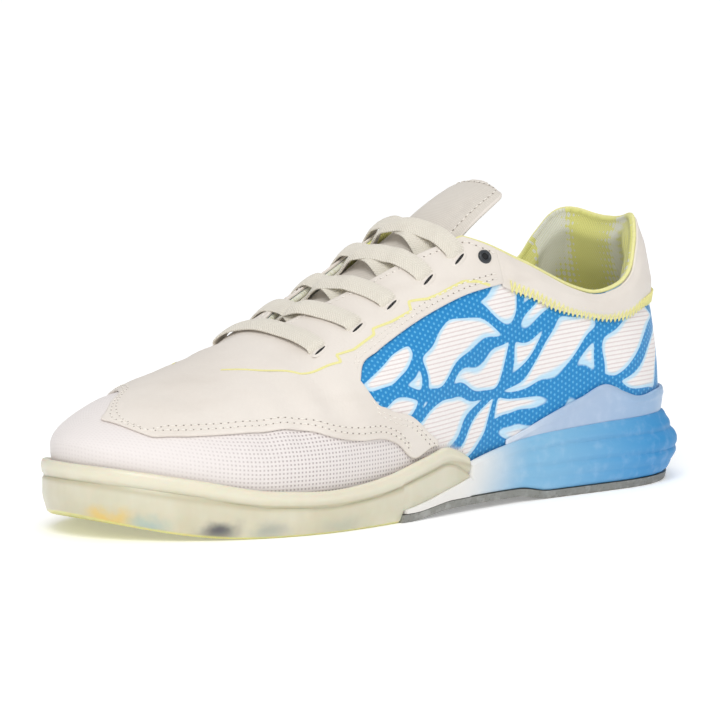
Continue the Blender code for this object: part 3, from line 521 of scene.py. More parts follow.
class Sheet:
    """Closed sheet grown from grids of outer and inner points, with rounded free edges."""

    def __init__(self, rim_steps: int = 3, bulge: float = 1.0) -> None:
        """Starts an empty sheet.

        Args:
            rim_steps: rows of points around a free edge.
            bulge: how far a free edge stands out, as a share of half its thickness.
        """
        self.rim_steps = rim_steps
        self.bulge = bulge
        self.outer: list[Array] = []
        self.inner: list[Array] = []
        self.uv: list[Array] = []
        self.marks: dict[str, list[Array]] = {}
        self.quads: list[Array] = []
        self.count = 0

    def grid(self, outer: Array, inner: Array, uv: Array, **marks: Array) -> None:
        """Adds a grid of point pairs with pattern coordinates and named values."""
        n, m = outer.shape[:2]
        numbers = np.arange(n * m).reshape(n, m) + self.count
        self.quads.append(np.stack([numbers[:-1, :-1], numbers[:-1, 1:],
                                    numbers[1:, 1:], numbers[1:, :-1]], -1).reshape(-1, 4))
        self.outer.append(outer.reshape(-1, 3))
        self.inner.append(inner.reshape(-1, 3))
        self.uv.append(uv.reshape(-1, 2))
        for name, values in marks.items():
            self.marks.setdefault(name, []).append(np.broadcast_to(values, (n, m)).reshape(-1))
        self.count += n * m

    def _edges(self, faces: list[tuple[int, ...]], centres: Array) -> list[tuple]:
        """Free edges with their direction away from the sheet."""
        uses: dict[tuple[int, int], list[int]] = {}
        for number, face in enumerate(faces):
            for k in range(len(face)):
                key = tuple(sorted((face[k], face[(k + 1) % len(face)])))
                uses.setdefault(key, []).append(number)
        return [(key, centres[found[0]]) for key, found in uses.items() if len(found) == 1]

    def build(self, name: str, finishes: Sequence[bpy.types.Material],
              sharp: float = 55.0) -> bpy.types.Object:
        """Makes the mesh object.

        Args:
            name: name of the object.
            finishes: materials of the outer face, the inner face and the free edges; the
                last one given serves for those that are missing.
            sharp: angle in degrees past which an edge is shaded sharp.

        Returns:
            The object, linked to the scene.
        """
        outer = np.concatenate(self.outer)
        inner = np.concatenate(self.inner)
        uv = np.concatenate(self.uv)
        pairs = np.concatenate([outer, inner], 1)
        keys = np.floor(pairs / MERGE_STEP + MERGE_SHIFT).astype(np.int64)
        _, first, merged = np.unique(keys, axis=0, return_index=True, return_inverse=True)
        merged = merged.reshape(-1)
        outer, inner = outer[first], inner[first]
        marks = {key: np.concatenate(values)[first] for key, values in self.marks.items()}
        corners: list[tuple[int, ...]] = []
        sources: list[tuple[int, ...]] = []
        for quad in np.concatenate(self.quads):
            face, source = [], []
            for old in quad:
                new = int(merged[old])
                if new not in face:
                    face.append(new)
                    source.append(int(old))
            if len(face) > 2:
                corners.append(tuple(face))
                sources.append(tuple(source))
        centres = np.array([outer[list(face)].mean(0) for face in corners])
        free = self._edges(corners, centres)
        total = len(outer)
        vertices = [outer, inner]
        faces = list(corners)
        kinds = [0] * len(corners)
        face_uv = [uv[list(source)] for source in sources]
        for face, source in zip(corners, sources):
            faces.append(tuple(v + total for v in reversed(face)))
            kinds.append(1)
            face_uv.append(uv[list(reversed(source))])
        if free:
            away = np.zeros((total, 3))
            for (a, b), centre in free:
                thick = outer[a] + outer[b] - inner[a] - inner[b]
                out = unit(np.cross(outer[b] - outer[a], thick))
                middle = (outer[a] + outer[b]) / 2
                out *= 1.0 if np.dot(out, middle - centre) > 0 else -1.0
                away[a] += out
                away[b] += out
            rim = sorted({v for (a, b), _ in free for v in (a, b)})
            slot_of = {v: k for k, v in enumerate(rim)}
            direction = unit(away[rim])
            middle = (outer[rim] + inner[rim]) / 2
            half = (outer[rim] - inner[rim]) / 2
            reach = np.linalg.norm(half, axis=-1, keepdims=True) * self.bulge
            layers = []
            for k in range(1, self.rim_steps + 1):
                angle = math.pi * k / (self.rim_steps + 1)
                layers.append(middle + half * math.cos(angle)
                              + direction * reach * math.sin(angle))
            vertices += layers
            uv_of = {int(new): uv[old] for old, new in enumerate(merged)}
            base = 2 * total

            def ring(vertex: int, k: int) -> int:
                """Number of a point of the rounded edge; 0 is the outer point."""
                if k == 0:
                    return vertex
                if k > self.rim_steps:
                    return vertex + total
                return base + (k - 1) * len(rim) + slot_of[vertex]

            for (a, b), _ in free:
                for k in range(self.rim_steps + 1):
                    faces.append((ring(b, k), ring(a, k), ring(a, k + 1), ring(b, k + 1)))
                    kinds.append(2)
                    face_uv.append(np.array([uv_of[b], uv_of[a], uv_of[a], uv_of[b]]))
            for key, values in marks.items():
                marks[key] = np.concatenate([values, values] + [values[rim]] * self.rim_steps)
        else:
            marks = {key: np.concatenate([values, values]) for key, values in marks.items()}
        mesh = bpy.data.meshes.new(name)
        mesh.from_pydata(np.concatenate(vertices).tolist(), [], faces)
        layer = mesh.uv_layers.new(name=UV_NAME)
        layer.data.foreach_set("uv", np.concatenate(face_uv).astype(np.float32).ravel())
        mesh.polygons.foreach_set("material_index",
                                  [min(kind, len(finishes) - 1) for kind in kinds])
        for key, values in marks.items():
            made = mesh.attributes.new(key, "FLOAT", "POINT")
            made.data.foreach_set("value", values.astype(np.float32))
        return finish_mesh(name, mesh, finishes, sharp)


def finish_mesh(name: str, mesh: bpy.types.Mesh, finishes: Sequence[bpy.types.Material],
                sharp: float = 55.0) -> bpy.types.Object:
    """Turns a mesh's faces outwards, shades it and links it as an object.

    Args:
        name: name of the object.
        mesh: mesh whose faces may point either way.
        finishes: its materials.
        sharp: angle in degrees past which an edge is shaded sharp.

    Returns:
        The object.
    """
    work = bmesh.new()
    work.from_mesh(mesh)
    bmesh.ops.recalc_face_normals(work, faces=work.faces)
    if work.calc_volume(signed=True) < 0:
        bmesh.ops.reverse_faces(work, faces=work.faces)
    work.to_mesh(mesh)
    work.free()
    for finish in finishes:
        mesh.materials.append(finish)
    mesh.shade_smooth()
    mesh.set_sharp_from_angle(angle=math.radians(sharp))
    made = bpy.data.objects.new(name, mesh)
    bpy.context.scene.collection.objects.link(made)
    return made


def keep(piece: bpy.types.Object, slot: str, *nodes: str) -> bpy.types.Object:
    """Puts a finished piece on the shoe.

    Args:
        piece: the object, at the origin.
        slot: the record's material slot for its finish; not used.
        nodes: solids that it stands for.

    Returns:
        The same object.
    """
    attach(piece, ROOT)
    if nodes:
        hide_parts(*nodes)
    LOG.info("%s: %d faces", piece.name, len(piece.data.polygons))
    return piece


def _operator(operation: str) -> Callable[["Field", Any], "Field"]:
    """Arithmetic of a Field with one more value, as one Math node."""
    return lambda field, other: field.apply(operation, other)


class Field:
    """A number inside a material, which takes Python's arithmetic."""

    def __init__(self, bench: "Bench", socket: bpy.types.NodeSocket) -> None:
        """Wraps the output socket of a node."""
        self.bench = bench
        self.socket = socket

    def apply(self, operation: str, *others: Any) -> "Field":
        """Adds one Math node to this number and others."""
        values = dict(enumerate((self, *others)))
        return self.bench.node("ShaderNodeMath", {"operation": operation}, values)

    def __rsub__(self, other: float) -> "Field":
        """Difference, reflected."""
        return self.bench.node("ShaderNodeMath", {"operation": "SUBTRACT"}, {0: other, 1: self})

    __add__ = __radd__ = _operator("ADD")
    __mul__ = __rmul__ = _operator("MULTIPLY")
    __sub__ = _operator("SUBTRACT")
    __truediv__ = _operator("DIVIDE")
    __pow__ = _operator("POWER")

    def cos(self) -> "Field":
        """Cosine."""
        return self.apply("COSINE")

    def absolute(self) -> "Field":
        """Absolute value."""
        return self.apply("ABSOLUTE")

    def wave(self, period: float) -> "Field":
        """Triangle wave from 0 to half the period and back."""
        return self.apply("PINGPONG", period / 2)

    def between(self, low: float, high: float) -> "Field":
        """Eases from 0 at low to 1 at high; low may be the larger one."""
        return self.bench.node(
            "ShaderNodeMapRange", {"interpolation_type": "SMOOTHSTEP"},
            {"Value": self, "From Min": low, "From Max": high, "To Min": 0.0, "To Max": 1.0})


class Bench:
    """Makes the nodes of one material."""

    def __init__(self, name: str) -> None:
        """Starts a material with only its output."""
        self.material = bpy.data.materials.new(name)
        self.material.use_nodes = True
        self.tree = self.material.node_tree
        self.tree.nodes.clear()
        self.end = self.tree.nodes.new("ShaderNodeOutputMaterial")

    def node(self, kind: str, settings: dict | None = None, inputs: dict | None = None,
             output: int | str = 0) -> Field:
        """Makes a node.

        Args:
            kind: type of the node.
            settings: its properties, which are set first.
            inputs: values or fields by socket name or number.
            output: the socket that is returned.

        Returns:
            The wrapped output.
        """
        made = self.tree.nodes.new(kind)
        for key, value in (settings or {}).items():
            setattr(made, key, value)
        for key, value in (inputs or {}).items():
            socket = made.inputs[key]
            if isinstance(value, Field):
                self.tree.links.new(value.socket, socket)
            elif isinstance(value, tuple) and len(value) == 3 and socket.type == "RGBA":
                socket.default_value = (*value, 1.0)
            else:
                socket.default_value = value
        return Field(self, made.outputs[output])

    def place(self) -> Field:
        """Object coordinates, in metres."""
        return self.node("ShaderNodeTexCoord", output="Object")

    def pattern(self) -> Field:
        """The surface's own coordinates, in metres."""
        return self.node("ShaderNodeUVMap", {"uv_map": UV_NAME})

    def mark(self, name: str) -> Field:
        """A named value of the surface."""
        return self.node("ShaderNodeAttribute", {"attribute_name": name}, output="Fac")

    def parts(self, vector: Field) -> list[Field]:
        """The three numbers of a vector."""
        first = self.node("ShaderNodeSeparateXYZ", None, {0: vector})
        return [Field(self, socket) for socket in first.socket.node.outputs]

    def vector(self, x: Any, y: Any, z: Any = 0.0) -> Field:
        """A vector of three numbers."""
        return self.node("ShaderNodeCombineXYZ", None, {0: x, 1: y, 2: z})

    def noise(self, vector: Field, scale: float, detail: float = 2.0,
              rough: float = 0.5) -> Field:
        """Cloudy noise from 0 to 1."""
        return self.node("ShaderNodeTexNoise", None,
                         {"Vector": vector, "Scale": scale, "Detail": detail,
                          "Roughness": rough})

    def cells(self, vector: Field, scale: float, feature: str = "F1",
              uneven: float = 1.0) -> Field:
        """Distances in a field of cells."""
        return self.node("ShaderNodeTexVoronoi", {"feature": feature},
                         {"Vector": vector, "Scale": scale, "Randomness": uneven},
                         "Distance")

    def mix(self, amount: Any, first: Any, second: Any) -> Field:
        """Blends two colours."""
        return self.node("ShaderNodeMix", {"data_type": "RGBA"},
                         {0: amount, 6: first, 7: second}, 2)

    def relief(self, height: Field, depth: float) -> Field:
        """Small relief as a normal; height runs from 0 to 1 over a depth in metres."""
        return self.node("ShaderNodeBump", None,
                         {"Height": height, "Distance": depth, "Strength": 1.0}, "Normal")

    def close(self, **inputs: Any) -> bpy.types.Material:
        """Ends in a Principled shader with the inputs given by name."""
        named = {key.replace("_", " ").title().replace("Ior", "IOR"): value
                 for key, value in inputs.items()}
        surface = self.node("ShaderNodeBsdfPrincipled", None, named)
        self.tree.links.new(surface.socket, self.end.inputs["Surface"])
        return self.material


def srgb(code: str) -> Colour:
    """Linear colour of a hexadecimal screen colour."""
    values = [int(code[k:k + 2], 16) / 255 for k in (0, 2, 4)]
    return tuple(v / 12.92 if v <= 0.04045 else ((v + 0.055) / 1.055) ** 2.4 for v in values)


@dataclass(frozen=True)
class SmoothSkin:
    """Smooth synthetic leather with a fine grain."""

    name: str = "smooth skin"
    colour: Colour = srgb("E4DCD3")
    shade: Colour = srgb("D5CBC0")
    dot: Colour = srgb("8FA9BE")
    grain: float = 0.00011

    def build(self) -> bpy.types.Material:
        """Makes the material; its mark dots is 1 where the printed dots are largest."""
        bench = Bench(self.name)
        place = bench.place()
        cloud = bench.noise(place, 28.0, 3.0, 0.55)
        streak = bench.noise(bench.node("ShaderNodeMapping", None,
                                        {"Vector": place, "Scale": (0.35, 1.0, 3.0)}), 55.0, 2.0)
        base = bench.mix(cloud.between(0.35, 0.75) * 0.35 + streak.between(0.5, 0.8) * 0.25,
                         self.colour, self.shade)
        u, v, _ = bench.parts(bench.pattern())
        pitch = 0.0026
        along = u / pitch + v / pitch * 0.5
        spots = bench.cells(bench.vector(along, v / pitch * 0.87), 1.0, "F1", 0.0)
        size = bench.mark("dots") * 0.40
        dots = (size - spots).between(0.0, 0.07) * bench.mark("dots").between(0.02, 0.12)
        base = bench.mix(dots * 0.8, base, self.dot)
        pores = bench.cells(place, 1100.0, "SMOOTH_F1")
        fine = bench.noise(place, 700.0, 3.0, 0.6)
        soft = bench.noise(place, 95.0, 2.0, 0.5)
        height = pores * 0.6 + fine * 0.4 + soft * 2.5 - dots * 0.8
        rough = 0.44 + cloud * 0.12 + dots * 0.15
        return bench.close(base_color=base, roughness=rough, sheen_weight=0.06,
                           normal=bench.relief(height, self.grain), specular_ior_level=0.45)


@dataclass(frozen=True)
class UpperCloth:
    """Knitted base of the upper: ribbed toe panel, veined open mesh at the quarter."""

    name: str = "upper cloth"
    toe: Colour = srgb("E6DFDC")
    toe_low: Colour = srgb("A89A9A")
    white: Colour = srgb("F1ECE9")
    hatch: Colour = srgb("D9C8C6")
    vein: Colour = srgb("0E82C2")
    vein_light: Colour = srgb("62BCE6")
    halo: Colour = srgb("B4DDF3")

    def build(self) -> bpy.types.Material:
        """Makes the material; its mark quarter is 1 on the veined mesh."""
        bench = Bench(self.name)
        u, v, _ = bench.parts(bench.pattern())
        flat = bench.vector(u, v)
        sway = bench.node("ShaderNodeTexNoise", None,
                          {"Vector": flat, "Scale": 30.0, "Detail": 1.0}, "Color")
        dx, dy, _ = bench.parts(sway)
        along = u * 0.95 + v * 0.30 + (dx - 0.5) * 0.034
        over = v * 0.95 - u * 0.30 + (dy - 0.5) * 0.030
        lines = []
        for lean, gap, shift in ((0.16, 0.0172, 0.003), (-0.46, 0.0245, 0.009),
                                 (1.30, 0.0460, 0.015)):
            size = math.hypot(1.0, lean)
            lines.append(((over - along * lean) / size + shift).wave(gap))
        near = bench.node("ShaderNodeMath", {"operation": "SMOOTH_MIN"},
                          {0: lines[0], 1: lines[1], 2: 0.0030})
        border = bench.node("ShaderNodeMath", {"operation": "SMOOTH_MIN"},
                            {0: near, 1: lines[2], 2: 0.0030}) * 50.0
        width = 0.048 + bench.noise(flat, 46.0, 0.0) * 0.13 + bench.mark("brim") * 0.13
        vein = (width - border).between(-0.012, 0.012)
        halo = (width + 0.05 - border).between(-0.045, 0.02)
        pitch = 0.0019
        turn = 2 * math.pi / pitch
        knit = ((u * turn).cos() + ((u * 0.5 + v * 0.866) * turn).cos()
                + ((u * 0.5 - v * 0.866) * turn).cos()) / 3.0
        holes = knit.between(0.25, 0.75)
        blue = bench.mix(holes * 0.75, self.vein, self.vein_light)
        hatch = (v * (2 * math.pi / 0.0016)).cos().between(0.35, 0.9)
        pale = bench.mix(hatch * 0.8, self.white, self.hatch)
        mesh = bench.mix(vein, bench.mix(halo * 0.85, pale, self.halo), blue)
        grid = 0.0015
        weave = ((u * (2 * math.pi / grid)).cos().between(-0.3, 0.7)
                 * (v * (2 * math.pi / grid)).cos().between(-0.3, 0.7))
        fade = bench.mark("texture")
        toe = bench.mix(weave * fade * 0.75, self.toe, self.toe_low)
        zone = bench.mark("quarter")
        base = bench.mix(zone, toe, mesh)
        height = (zone * (knit * 0.35 + hatch * 0.25 * (1 - vein))
                  + (1 - zone) * (1 - weave * fade) * 0.8)
        fuzz = bench.noise(bench.place(), 1400.0, 2.0, 0.6)
        return bench.close(base_color=base, roughness=0.78 - zone * 0.06,
                           normal=bench.relief(height + fuzz * 0.15, 0.00022),
                           sheen_weight=0.25, sheen_roughness=0.5, specular_ior_level=0.35)


@dataclass(frozen=True)
class LiningCloth:
    """Knitted lining with a dotted shift between two colours."""

    name: str = "lining cloth"
    warm: Colour = srgb("DEDC84")
    cool: Colour = srgb("E2E2DC")
    deep: Colour = srgb("C6C45C")

    def build(self) -> bpy.types.Material:
        """Makes the material."""
        bench = Bench(self.name)
        u, v, _ = bench.parts(bench.pattern())
        cloud = bench.noise(bench.vector(u * 1.6 + 0.020, v * 0.7), 30.0, 1.0, 0.4)
        pitch = 0.0026
        spots = bench.cells(bench.vector(u / pitch, v / pitch), 1.0, "F1", 0.0)
        size = cloud.between(0.30, 0.72) * 0.80
        cool = (size - spots).between(-0.02, 0.06)
        knit = ((u * (2 * math.pi / 0.0012)).cos() * (v * (2 * math.pi / 0.0012)).cos())
        base = bench.mix(cool * 0.85, self.warm, self.cool)
        base = bench.mix(knit.between(0.0, 0.9) * 0.35, base, self.deep)
        return bench.close(base_color=base, roughness=0.85, sheen_weight=0.35,
                           normal=bench.relief(knit * 0.5 + 0.5, 0.00025))


@dataclass(frozen=True)
class Moulded:
    """Moulded foam, plastic or rubber whose colour shifts along the shoe."""

    name: str
    front: Colour
    middle: Colour
    back: Colour
    front_x: float
    middle_x: float
    back_x: float
    roughness: float = 0.5
    grain: float = 0.00005
    coat: float = 0.0
    speckle: float = 0.0

    def build(self) -> bpy.types.Material:
        """Makes the material."""
        bench = Bench(self.name)
        place = bench.place()
        x, _, z = bench.parts(place)
        drift = bench.noise(place, 18.0, 2.0)
        along = x + (drift - 0.5) * 0.014 - z * 0.30 + 0.005
        base = bench.mix(along.between(self.front_x, self.middle_x), self.front, self.middle)
        base = bench.mix(along.between(self.middle_x, self.back_x), base, self.back)
        cloud = bench.noise(place, 160.0, 3.0, 0.6)
        base = bench.mix(cloud.between(0.45, 0.8) * 0.10, base, (1.0, 1.0, 1.0))
        if self.speckle:
            chips = bench.cells(place, 700.0, "F1", 1.0)
            base = bench.mix(chips.between(0.30, 0.16) * self.speckle, base, (0.07, 0.07, 0.07))
            base = bench.mix(bench.noise(place, 260.0, 2.0).between(0.5, 0.7) * self.speckle,
                             base, (0.52, 0.52, 0.50))
        fine = bench.noise(place, 1100.0, 3.0, 0.55)
        return bench.close(base_color=base, roughness=self.roughness + cloud * 0.1,
                           normal=bench.relief(fine, self.grain), coat_weight=self.coat,
                           coat_roughness=0.25)


@dataclass(frozen=True)
class ClearRubber:
    """Clouded clear rubber over a marbled layer, with a yellow lower edge."""

    name: str = "clear rubber"
    body: Colour = srgb("C9C3A9")
    pale: Colour = srgb("DEDAC8")
    # Paler cream above the step: partly the rubber's own colour, partly a painted highlight along
    # the ledge
    rim: Colour = srgb("E2DDC8")
    # Painted shade under the step's ledge
    line: Colour = srgb("B9B193")
    edge: Colour = srgb("DCD87E")
    # Marbling: place of each blot in metres, radius, colour, strength
    blots: tuple = (
        ((-0.2430, -0.0150, 0.0080), 0.0110, srgb("E3BE55"), 0.85),
        ((-0.2330, -0.0260, 0.0060), 0.0100, srgb("9FB8B4"), 0.75),
        ((-0.2130, -0.0400, 0.0040), 0.0105, srgb("3F424E"), 0.90),
        ((-0.1960, -0.0475, 0.0030), 0.0100, srgb("8F958F"), 0.60),
        ((-0.1650, -0.0520, 0.0030), 0.0130, srgb("A9B0A2"), 0.50),
        ((-0.1200, -0.0480, 0.0040), 0.0100, srgb("B9B79C"), 0.60),
        ((-0.2380, 0.0330, 0.0060), 0.0110, srgb("8FB6CC"), 0.80),
        ((-0.2050, 0.0440, 0.0050), 0.0120, srgb("E0C46A"), 0.70),
        ((-0.1650, 0.0440, 0.0040), 0.0110, srgb("5A86B0"), 0.75),
        ((-0.1300, 0.0380, 0.0050), 0.0100, srgb("D9C870"), 0.60),
    )

    def build(self) -> bpy.types.Material:
        """Makes the material; its mark low runs from 0 at the rim to 1 at the floor."""
        bench = Bench(self.name)
        place = bench.place()
        low = bench.mark("low")
        cloud = bench.noise(place, 34.0, 3.0, 0.5)
        streak = bench.noise(bench.node("ShaderNodeMapping", None,
                                        {"Vector": place, "Scale": (1.0, 1.0, 0.22)}), 150.0, 2.0)
        base = bench.mix(cloud.between(0.3, 0.7) * 0.6 + streak.between(0.45, 0.75) * 0.15,
                         self.body, self.pale)
        # Paler band from the rim down to the step: partly the rubber's own colour, partly a
        # painted highlight
        base = bench.mix(low.between(0.24, 0.10) * 0.75, base, self.rim)
        # Darker band just below the step: painted shade under its ledge
        step_shade = low.between(0.22, 0.27) * low.between(0.42, 0.30)
        base = bench.mix(step_shade * 0.65, base, self.line)
        ragged = (bench.noise(place, 85.0, 3.0, 0.6) - 0.5) * 0.016
        for spot, radius, colour, strength in self.blots:
            x, y, z = bench.parts(place)
            apart = ((x - spot[0]) ** 2 + (y - spot[1]) ** 2
                     + ((z - spot[2]) * 1.9 + ragged) ** 2) ** 0.5
            blot = (apart + ragged * 0.7).between(radius * 1.15, 0.0)
            base = bench.mix(blot * low.between(0.40, 0.80) * strength, base, colour)
        base = bench.mix(low.between(0.93, 0.975) * 0.8, base, self.edge)
        fine = bench.noise(place, 420.0, 2.0, 0.5)
        wide = bench.noise(place, 60.0, 2.0, 0.5)
        return bench.close(base_color=base, roughness=0.30 + cloud * 0.14,
                           normal=bench.relief(fine * 0.3 + wide, 0.00025), coat_weight=0.25,
                           coat_roughness=0.25, subsurface_weight=0.25,
                           subsurface_scale=0.004)


@dataclass(frozen=True)
class Woven:
    """Flat woven tape: u runs along it and v across, in metres."""

    name: str
    colour: Colour
    # Colour of the painted shade between the ribs, and of random darker patches
    shade: Colour
    pitch: float = 0.0011
    slant: float = 1.0
    depth: float = 0.00016

    def build(self) -> bpy.types.Material:
        """Makes the material."""
        bench = Bench(self.name)
        u, v, _ = bench.parts(bench.pattern())
        arm = v.absolute() * self.slant
        ribs = ((u + arm) * (2 * math.pi / self.pitch)).cos()
        threads = (v * (2 * math.pi / (self.pitch * 0.8))).cos()
        weave = ribs.between(-0.6, 0.8) * (0.65 + threads * 0.35)
        dirt = bench.noise(bench.place(), 90.0, 3.0, 0.6)
        # Darker where the weave's relief is low: painted shade in the grooves between the ribs;
        # the dirt noise adds random darker patches of the same colour
        base = bench.mix((1 - weave) * 0.45 + dirt.between(0.5, 0.8) * 0.25,
                         self.colour, self.shade)
        return bench.close(base_color=base, roughness=0.82, sheen_weight=0.3,
                           normal=bench.relief(weave, self.depth), specular_ior_level=0.3)


@dataclass(frozen=True)
class Plain:
    """Small parts of one colour: thread, print, eyelet rings, and the painted shade in holes and
    slits.
    """

    name: str
    colour: Colour
    roughness: float = 0.6
    grain: float = 0.00004
    scale: float = 1500.0

    def build(self) -> bpy.types.Material:
        """Makes the material."""
        bench = Bench(self.name)
        place = bench.place()
        fine = bench.noise(place, self.scale, 2.0, 0.6)
        darker = tuple(v * 0.82 for v in self.colour)
        base = bench.mix(fine.between(0.4, 0.75) * 0.5, self.colour, darker)
        return bench.close(base_color=base, roughness=self.roughness,
                           normal=bench.relief(fine, self.grain))


@dataclass(frozen=True)
class Finishes:
    """Every finish of the shoe, made once."""

    skin: bpy.types.Material
    cloth: bpy.types.Material
    lining: bpy.types.Material
    clip: bpy.types.Material
    foam: bpy.types.Material
    rubber: bpy.types.Material
    tread: bpy.types.Material
    lace: bpy.types.Material
    tongue: bpy.types.Material
    thread: bpy.types.Material
    yellow_thread: bpy.types.Material
    needle_hole: bpy.types.Material
    piping: bpy.types.Material
    yellow_print: bpy.types.Material
    blue_print: bpy.types.Material
    black: bpy.types.Material
    ring: bpy.types.Material
    insole: bpy.types.Material

    @classmethod
    def make(cls) -> "Finishes":
        """Builds all the materials."""
        return cls(
            skin=SmoothSkin().build(),
            cloth=UpperCloth().build(),
            lining=LiningCloth().build(),
            clip=Moulded("heel clip", srgb("DCE1E8"), srgb("A6BAD4"), srgb("86ADD3"),
                         -0.088, -0.045, 0.020, 0.34, 0.00002, 0.3).build(),
            foam=Moulded("foam", srgb("E9E6E1"), srgb("7DB4D6"), srgb("1488C6"),
                         -0.100, -0.062, 0.022, 0.45, 0.00005).build(),
            rubber=ClearRubber().build(),
            tread=Moulded("grey tread", srgb("8B8B85"), srgb("85857F"), srgb("7C7C77"),
                          -0.14, -0.05, 0.03, 0.62, 0.00010, 0.0, 0.35).build(),
            lace=Woven("lace", srgb("EBE5D8"), srgb("CBC2B2")).build(),
            tongue=Woven("tongue cloth", srgb("DDD6CC"), srgb("C6BDB2"), 0.0009, 0.0,
                         0.00009).build(),
            thread=Plain("white thread", srgb("EFE9E0"), 0.6, 0.00006).build(),
            yellow_thread=Plain("yellow thread", srgb("EBE59C"), 0.6, 0.00006).build(),
            # Dark marks between the stitches: painted shade of the needle holes
            needle_hole=Plain("needle hole", srgb("8C8278"), 0.8).build(),
            piping=Plain("yellow piping", srgb("E9E5A0"), 0.7, 0.00012, 900.0).build(),
            yellow_print=Plain("yellow print", srgb("EAE39A"), 0.45).build(),
            blue_print=Plain("blue print", srgb("94C3E6"), 0.42).build(),
            # Near-black discs in the slits and eyelets: painted shade inside the holes
            black=Plain("dark hole", srgb("191A1C"), 0.7).build(),
            ring=Plain("painted ring", srgb("33363A"), 0.28, 0.00003, 600.0).build(),
            insole=Woven("insole cloth", srgb("CFCB74"), srgb("9A9848"), 0.0014, 0.0,
                         0.0002).build(),
        )


class Graph:
    """Makes a Geometry Nodes tree with named sizes and turns its result into a mesh."""

    def __init__(self, name: str, sizes: dict[str, float]) -> None:
        """Starts a tree.

        Args:
            name: name of the tree.
            sizes: named numbers with their values.
        """
        self.tree = bpy.data.node_groups.new(name, "GeometryNodeTree")
        face = self.tree.interface
        face.new_socket("Geometry", in_out="INPUT", socket_type="NodeSocketGeometry")
        self.keys = {}
        for key, value in sizes.items():
            socket = face.new_socket(key, in_out="INPUT", socket_type="NodeSocketFloat")
            socket.default_value = value
            self.keys[key] = socket.identifier
        self.material_key = face.new_socket("Material", in_out="INPUT",
                                            socket_type="NodeSocketMaterial").identifier
        face.new_socket("Geometry", in_out="OUTPUT", socket_type="NodeSocketGeometry")
        self.start = self.tree.nodes.new("NodeGroupInput")
        self.end = self.tree.nodes.new("NodeGroupOutput")

    def size(self, key: str) -> bpy.types.NodeSocket:
        """Output of a named input."""
        return self.start.outputs[key]

    def node(self, kind: str, settings: dict | None = None, inputs: dict | None = None,
             output: int | str = 0) -> bpy.types.NodeSocket:
        """Makes a node, sets its properties and inputs, and returns one output."""
        made = self.tree.nodes.new(kind)
        for key, value in (settings or {}).items():
            setattr(made, key, value)
        for key, value in (inputs or {}).items():
            if isinstance(value, bpy.types.NodeSocket):
                self.tree.links.new(value, made.inputs[key])
            else:
                made.inputs[key].default_value = value
        return made.outputs[output]

    def close(self, geometry: bpy.types.NodeSocket) -> None:
        """Realizes, paints and shades the result."""
        real = self.node("GeometryNodeRealizeInstances", None, {0: geometry})
        painted = self.node("GeometryNodeSetMaterial", None,
                            {"Geometry": real, "Material": self.start.outputs["Material"]})
        smooth_faces = self.node("GeometryNodeSetShadeSmooth", None, {0: painted})
        self.tree.links.new(smooth_faces, self.end.inputs[0])

    def apply(self, name: str, source: bpy.types.Mesh, finish: bpy.types.Material,
              **sizes: float) -> bpy.types.Object:
        """Runs the tree on a mesh.

        Args:
            name: name of the resulting object.
            source: mesh that the tree reads.
            finish: material of the result.
            sizes: sizes that differ from the tree's own.

        Returns:
            A plain mesh object with the result.
        """
        holder = bpy.data.objects.new(name + "_path", source)
        bpy.context.scene.collection.objects.link(holder)
        step = holder.modifiers.new("nodes", "NODES")
        step.node_group = self.tree
        step[self.material_key] = finish
        for key, value in sizes.items():
            step[self.keys[key.replace("_", " ")]] = value
        deps = bpy.context.evaluated_depsgraph_get()
        mesh = bpy.data.meshes.new_from_object(holder.evaluated_get(deps))
        mesh.name = name
        bpy.data.objects.remove(holder)
        if not mesh.materials:
            mesh.materials.append(finish)
        made = bpy.data.objects.new(name, mesh)
        bpy.context.scene.collection.objects.link(made)
        return made


def path_mesh(name: str, runs: Iterable[tuple[Array, Array]]) -> bpy.types.Mesh:
    """Mesh of loose lines with the surface's direction at each point.

    Args:
        name: name of the mesh.
        runs: pairs of points and outward directions.

    Returns:
        The mesh, with a vector attribute named up.
    """
    points, ups, edges = [], [], []
    for line, up in runs:
        edges += [(len(points) + k, len(points) + k + 1) for k in range(len(line) - 1)]
        points += [tuple(v) for v in line]
        ups.append(up)
    mesh = bpy.data.meshes.new(name)
    mesh.from_pydata(points, edges, [])
    layer = mesh.attributes.new("up", "FLOAT_VECTOR", "POINT")
    layer.data.foreach_set("vector", np.concatenate(ups).astype(np.float32).ravel())
    return mesh


def stitch_graph() -> Graph:
    """Tree that sews a row of short stitches along lines."""
    graph = Graph("stitch row", {"Pitch": 0.0026, "Length": 0.0020, "Width": 0.0006,
                                 "Height": 0.0004})
    lines = graph.node("GeometryNodeMeshToCurve", None, {0: graph.size("Geometry")})
    spots = graph.node("GeometryNodeResampleCurve", {"mode": "LENGTH"},
                       {"Curve": lines, "Length": graph.size("Pitch")})
    ball = graph.node("GeometryNodeMeshUVSphere", None,
                      {"Segments": 8, "Rings": 5, "Radius": 0.5})
    sizes = graph.node("ShaderNodeCombineXYZ", None,
                       {0: graph.size("Length"), 1: graph.size("Width"), 2: graph.size("Height")})
    stitch = graph.node("GeometryNodeTransform", None, {"Geometry": ball, "Scale": sizes})
    tangent = graph.node("GeometryNodeInputTangent")
    up = graph.node("GeometryNodeInputNamedAttribute", {"data_type": "FLOAT_VECTOR"},
                    {"Name": "up"})
    along = graph.node("FunctionNodeAlignRotationToVector", {"axis": "X"}, {"Vector": tangent})
    turned = graph.node("FunctionNodeAlignRotationToVector", {"axis": "Z", "pivot_axis": "X"},
                        {"Rotation": along, "Vector": up})
    sewn = graph.node("GeometryNodeInstanceOnPoints", None,
                      {"Points": spots, "Instance": stitch, "Rotation": turned})
    graph.close(sewn)
    return graph


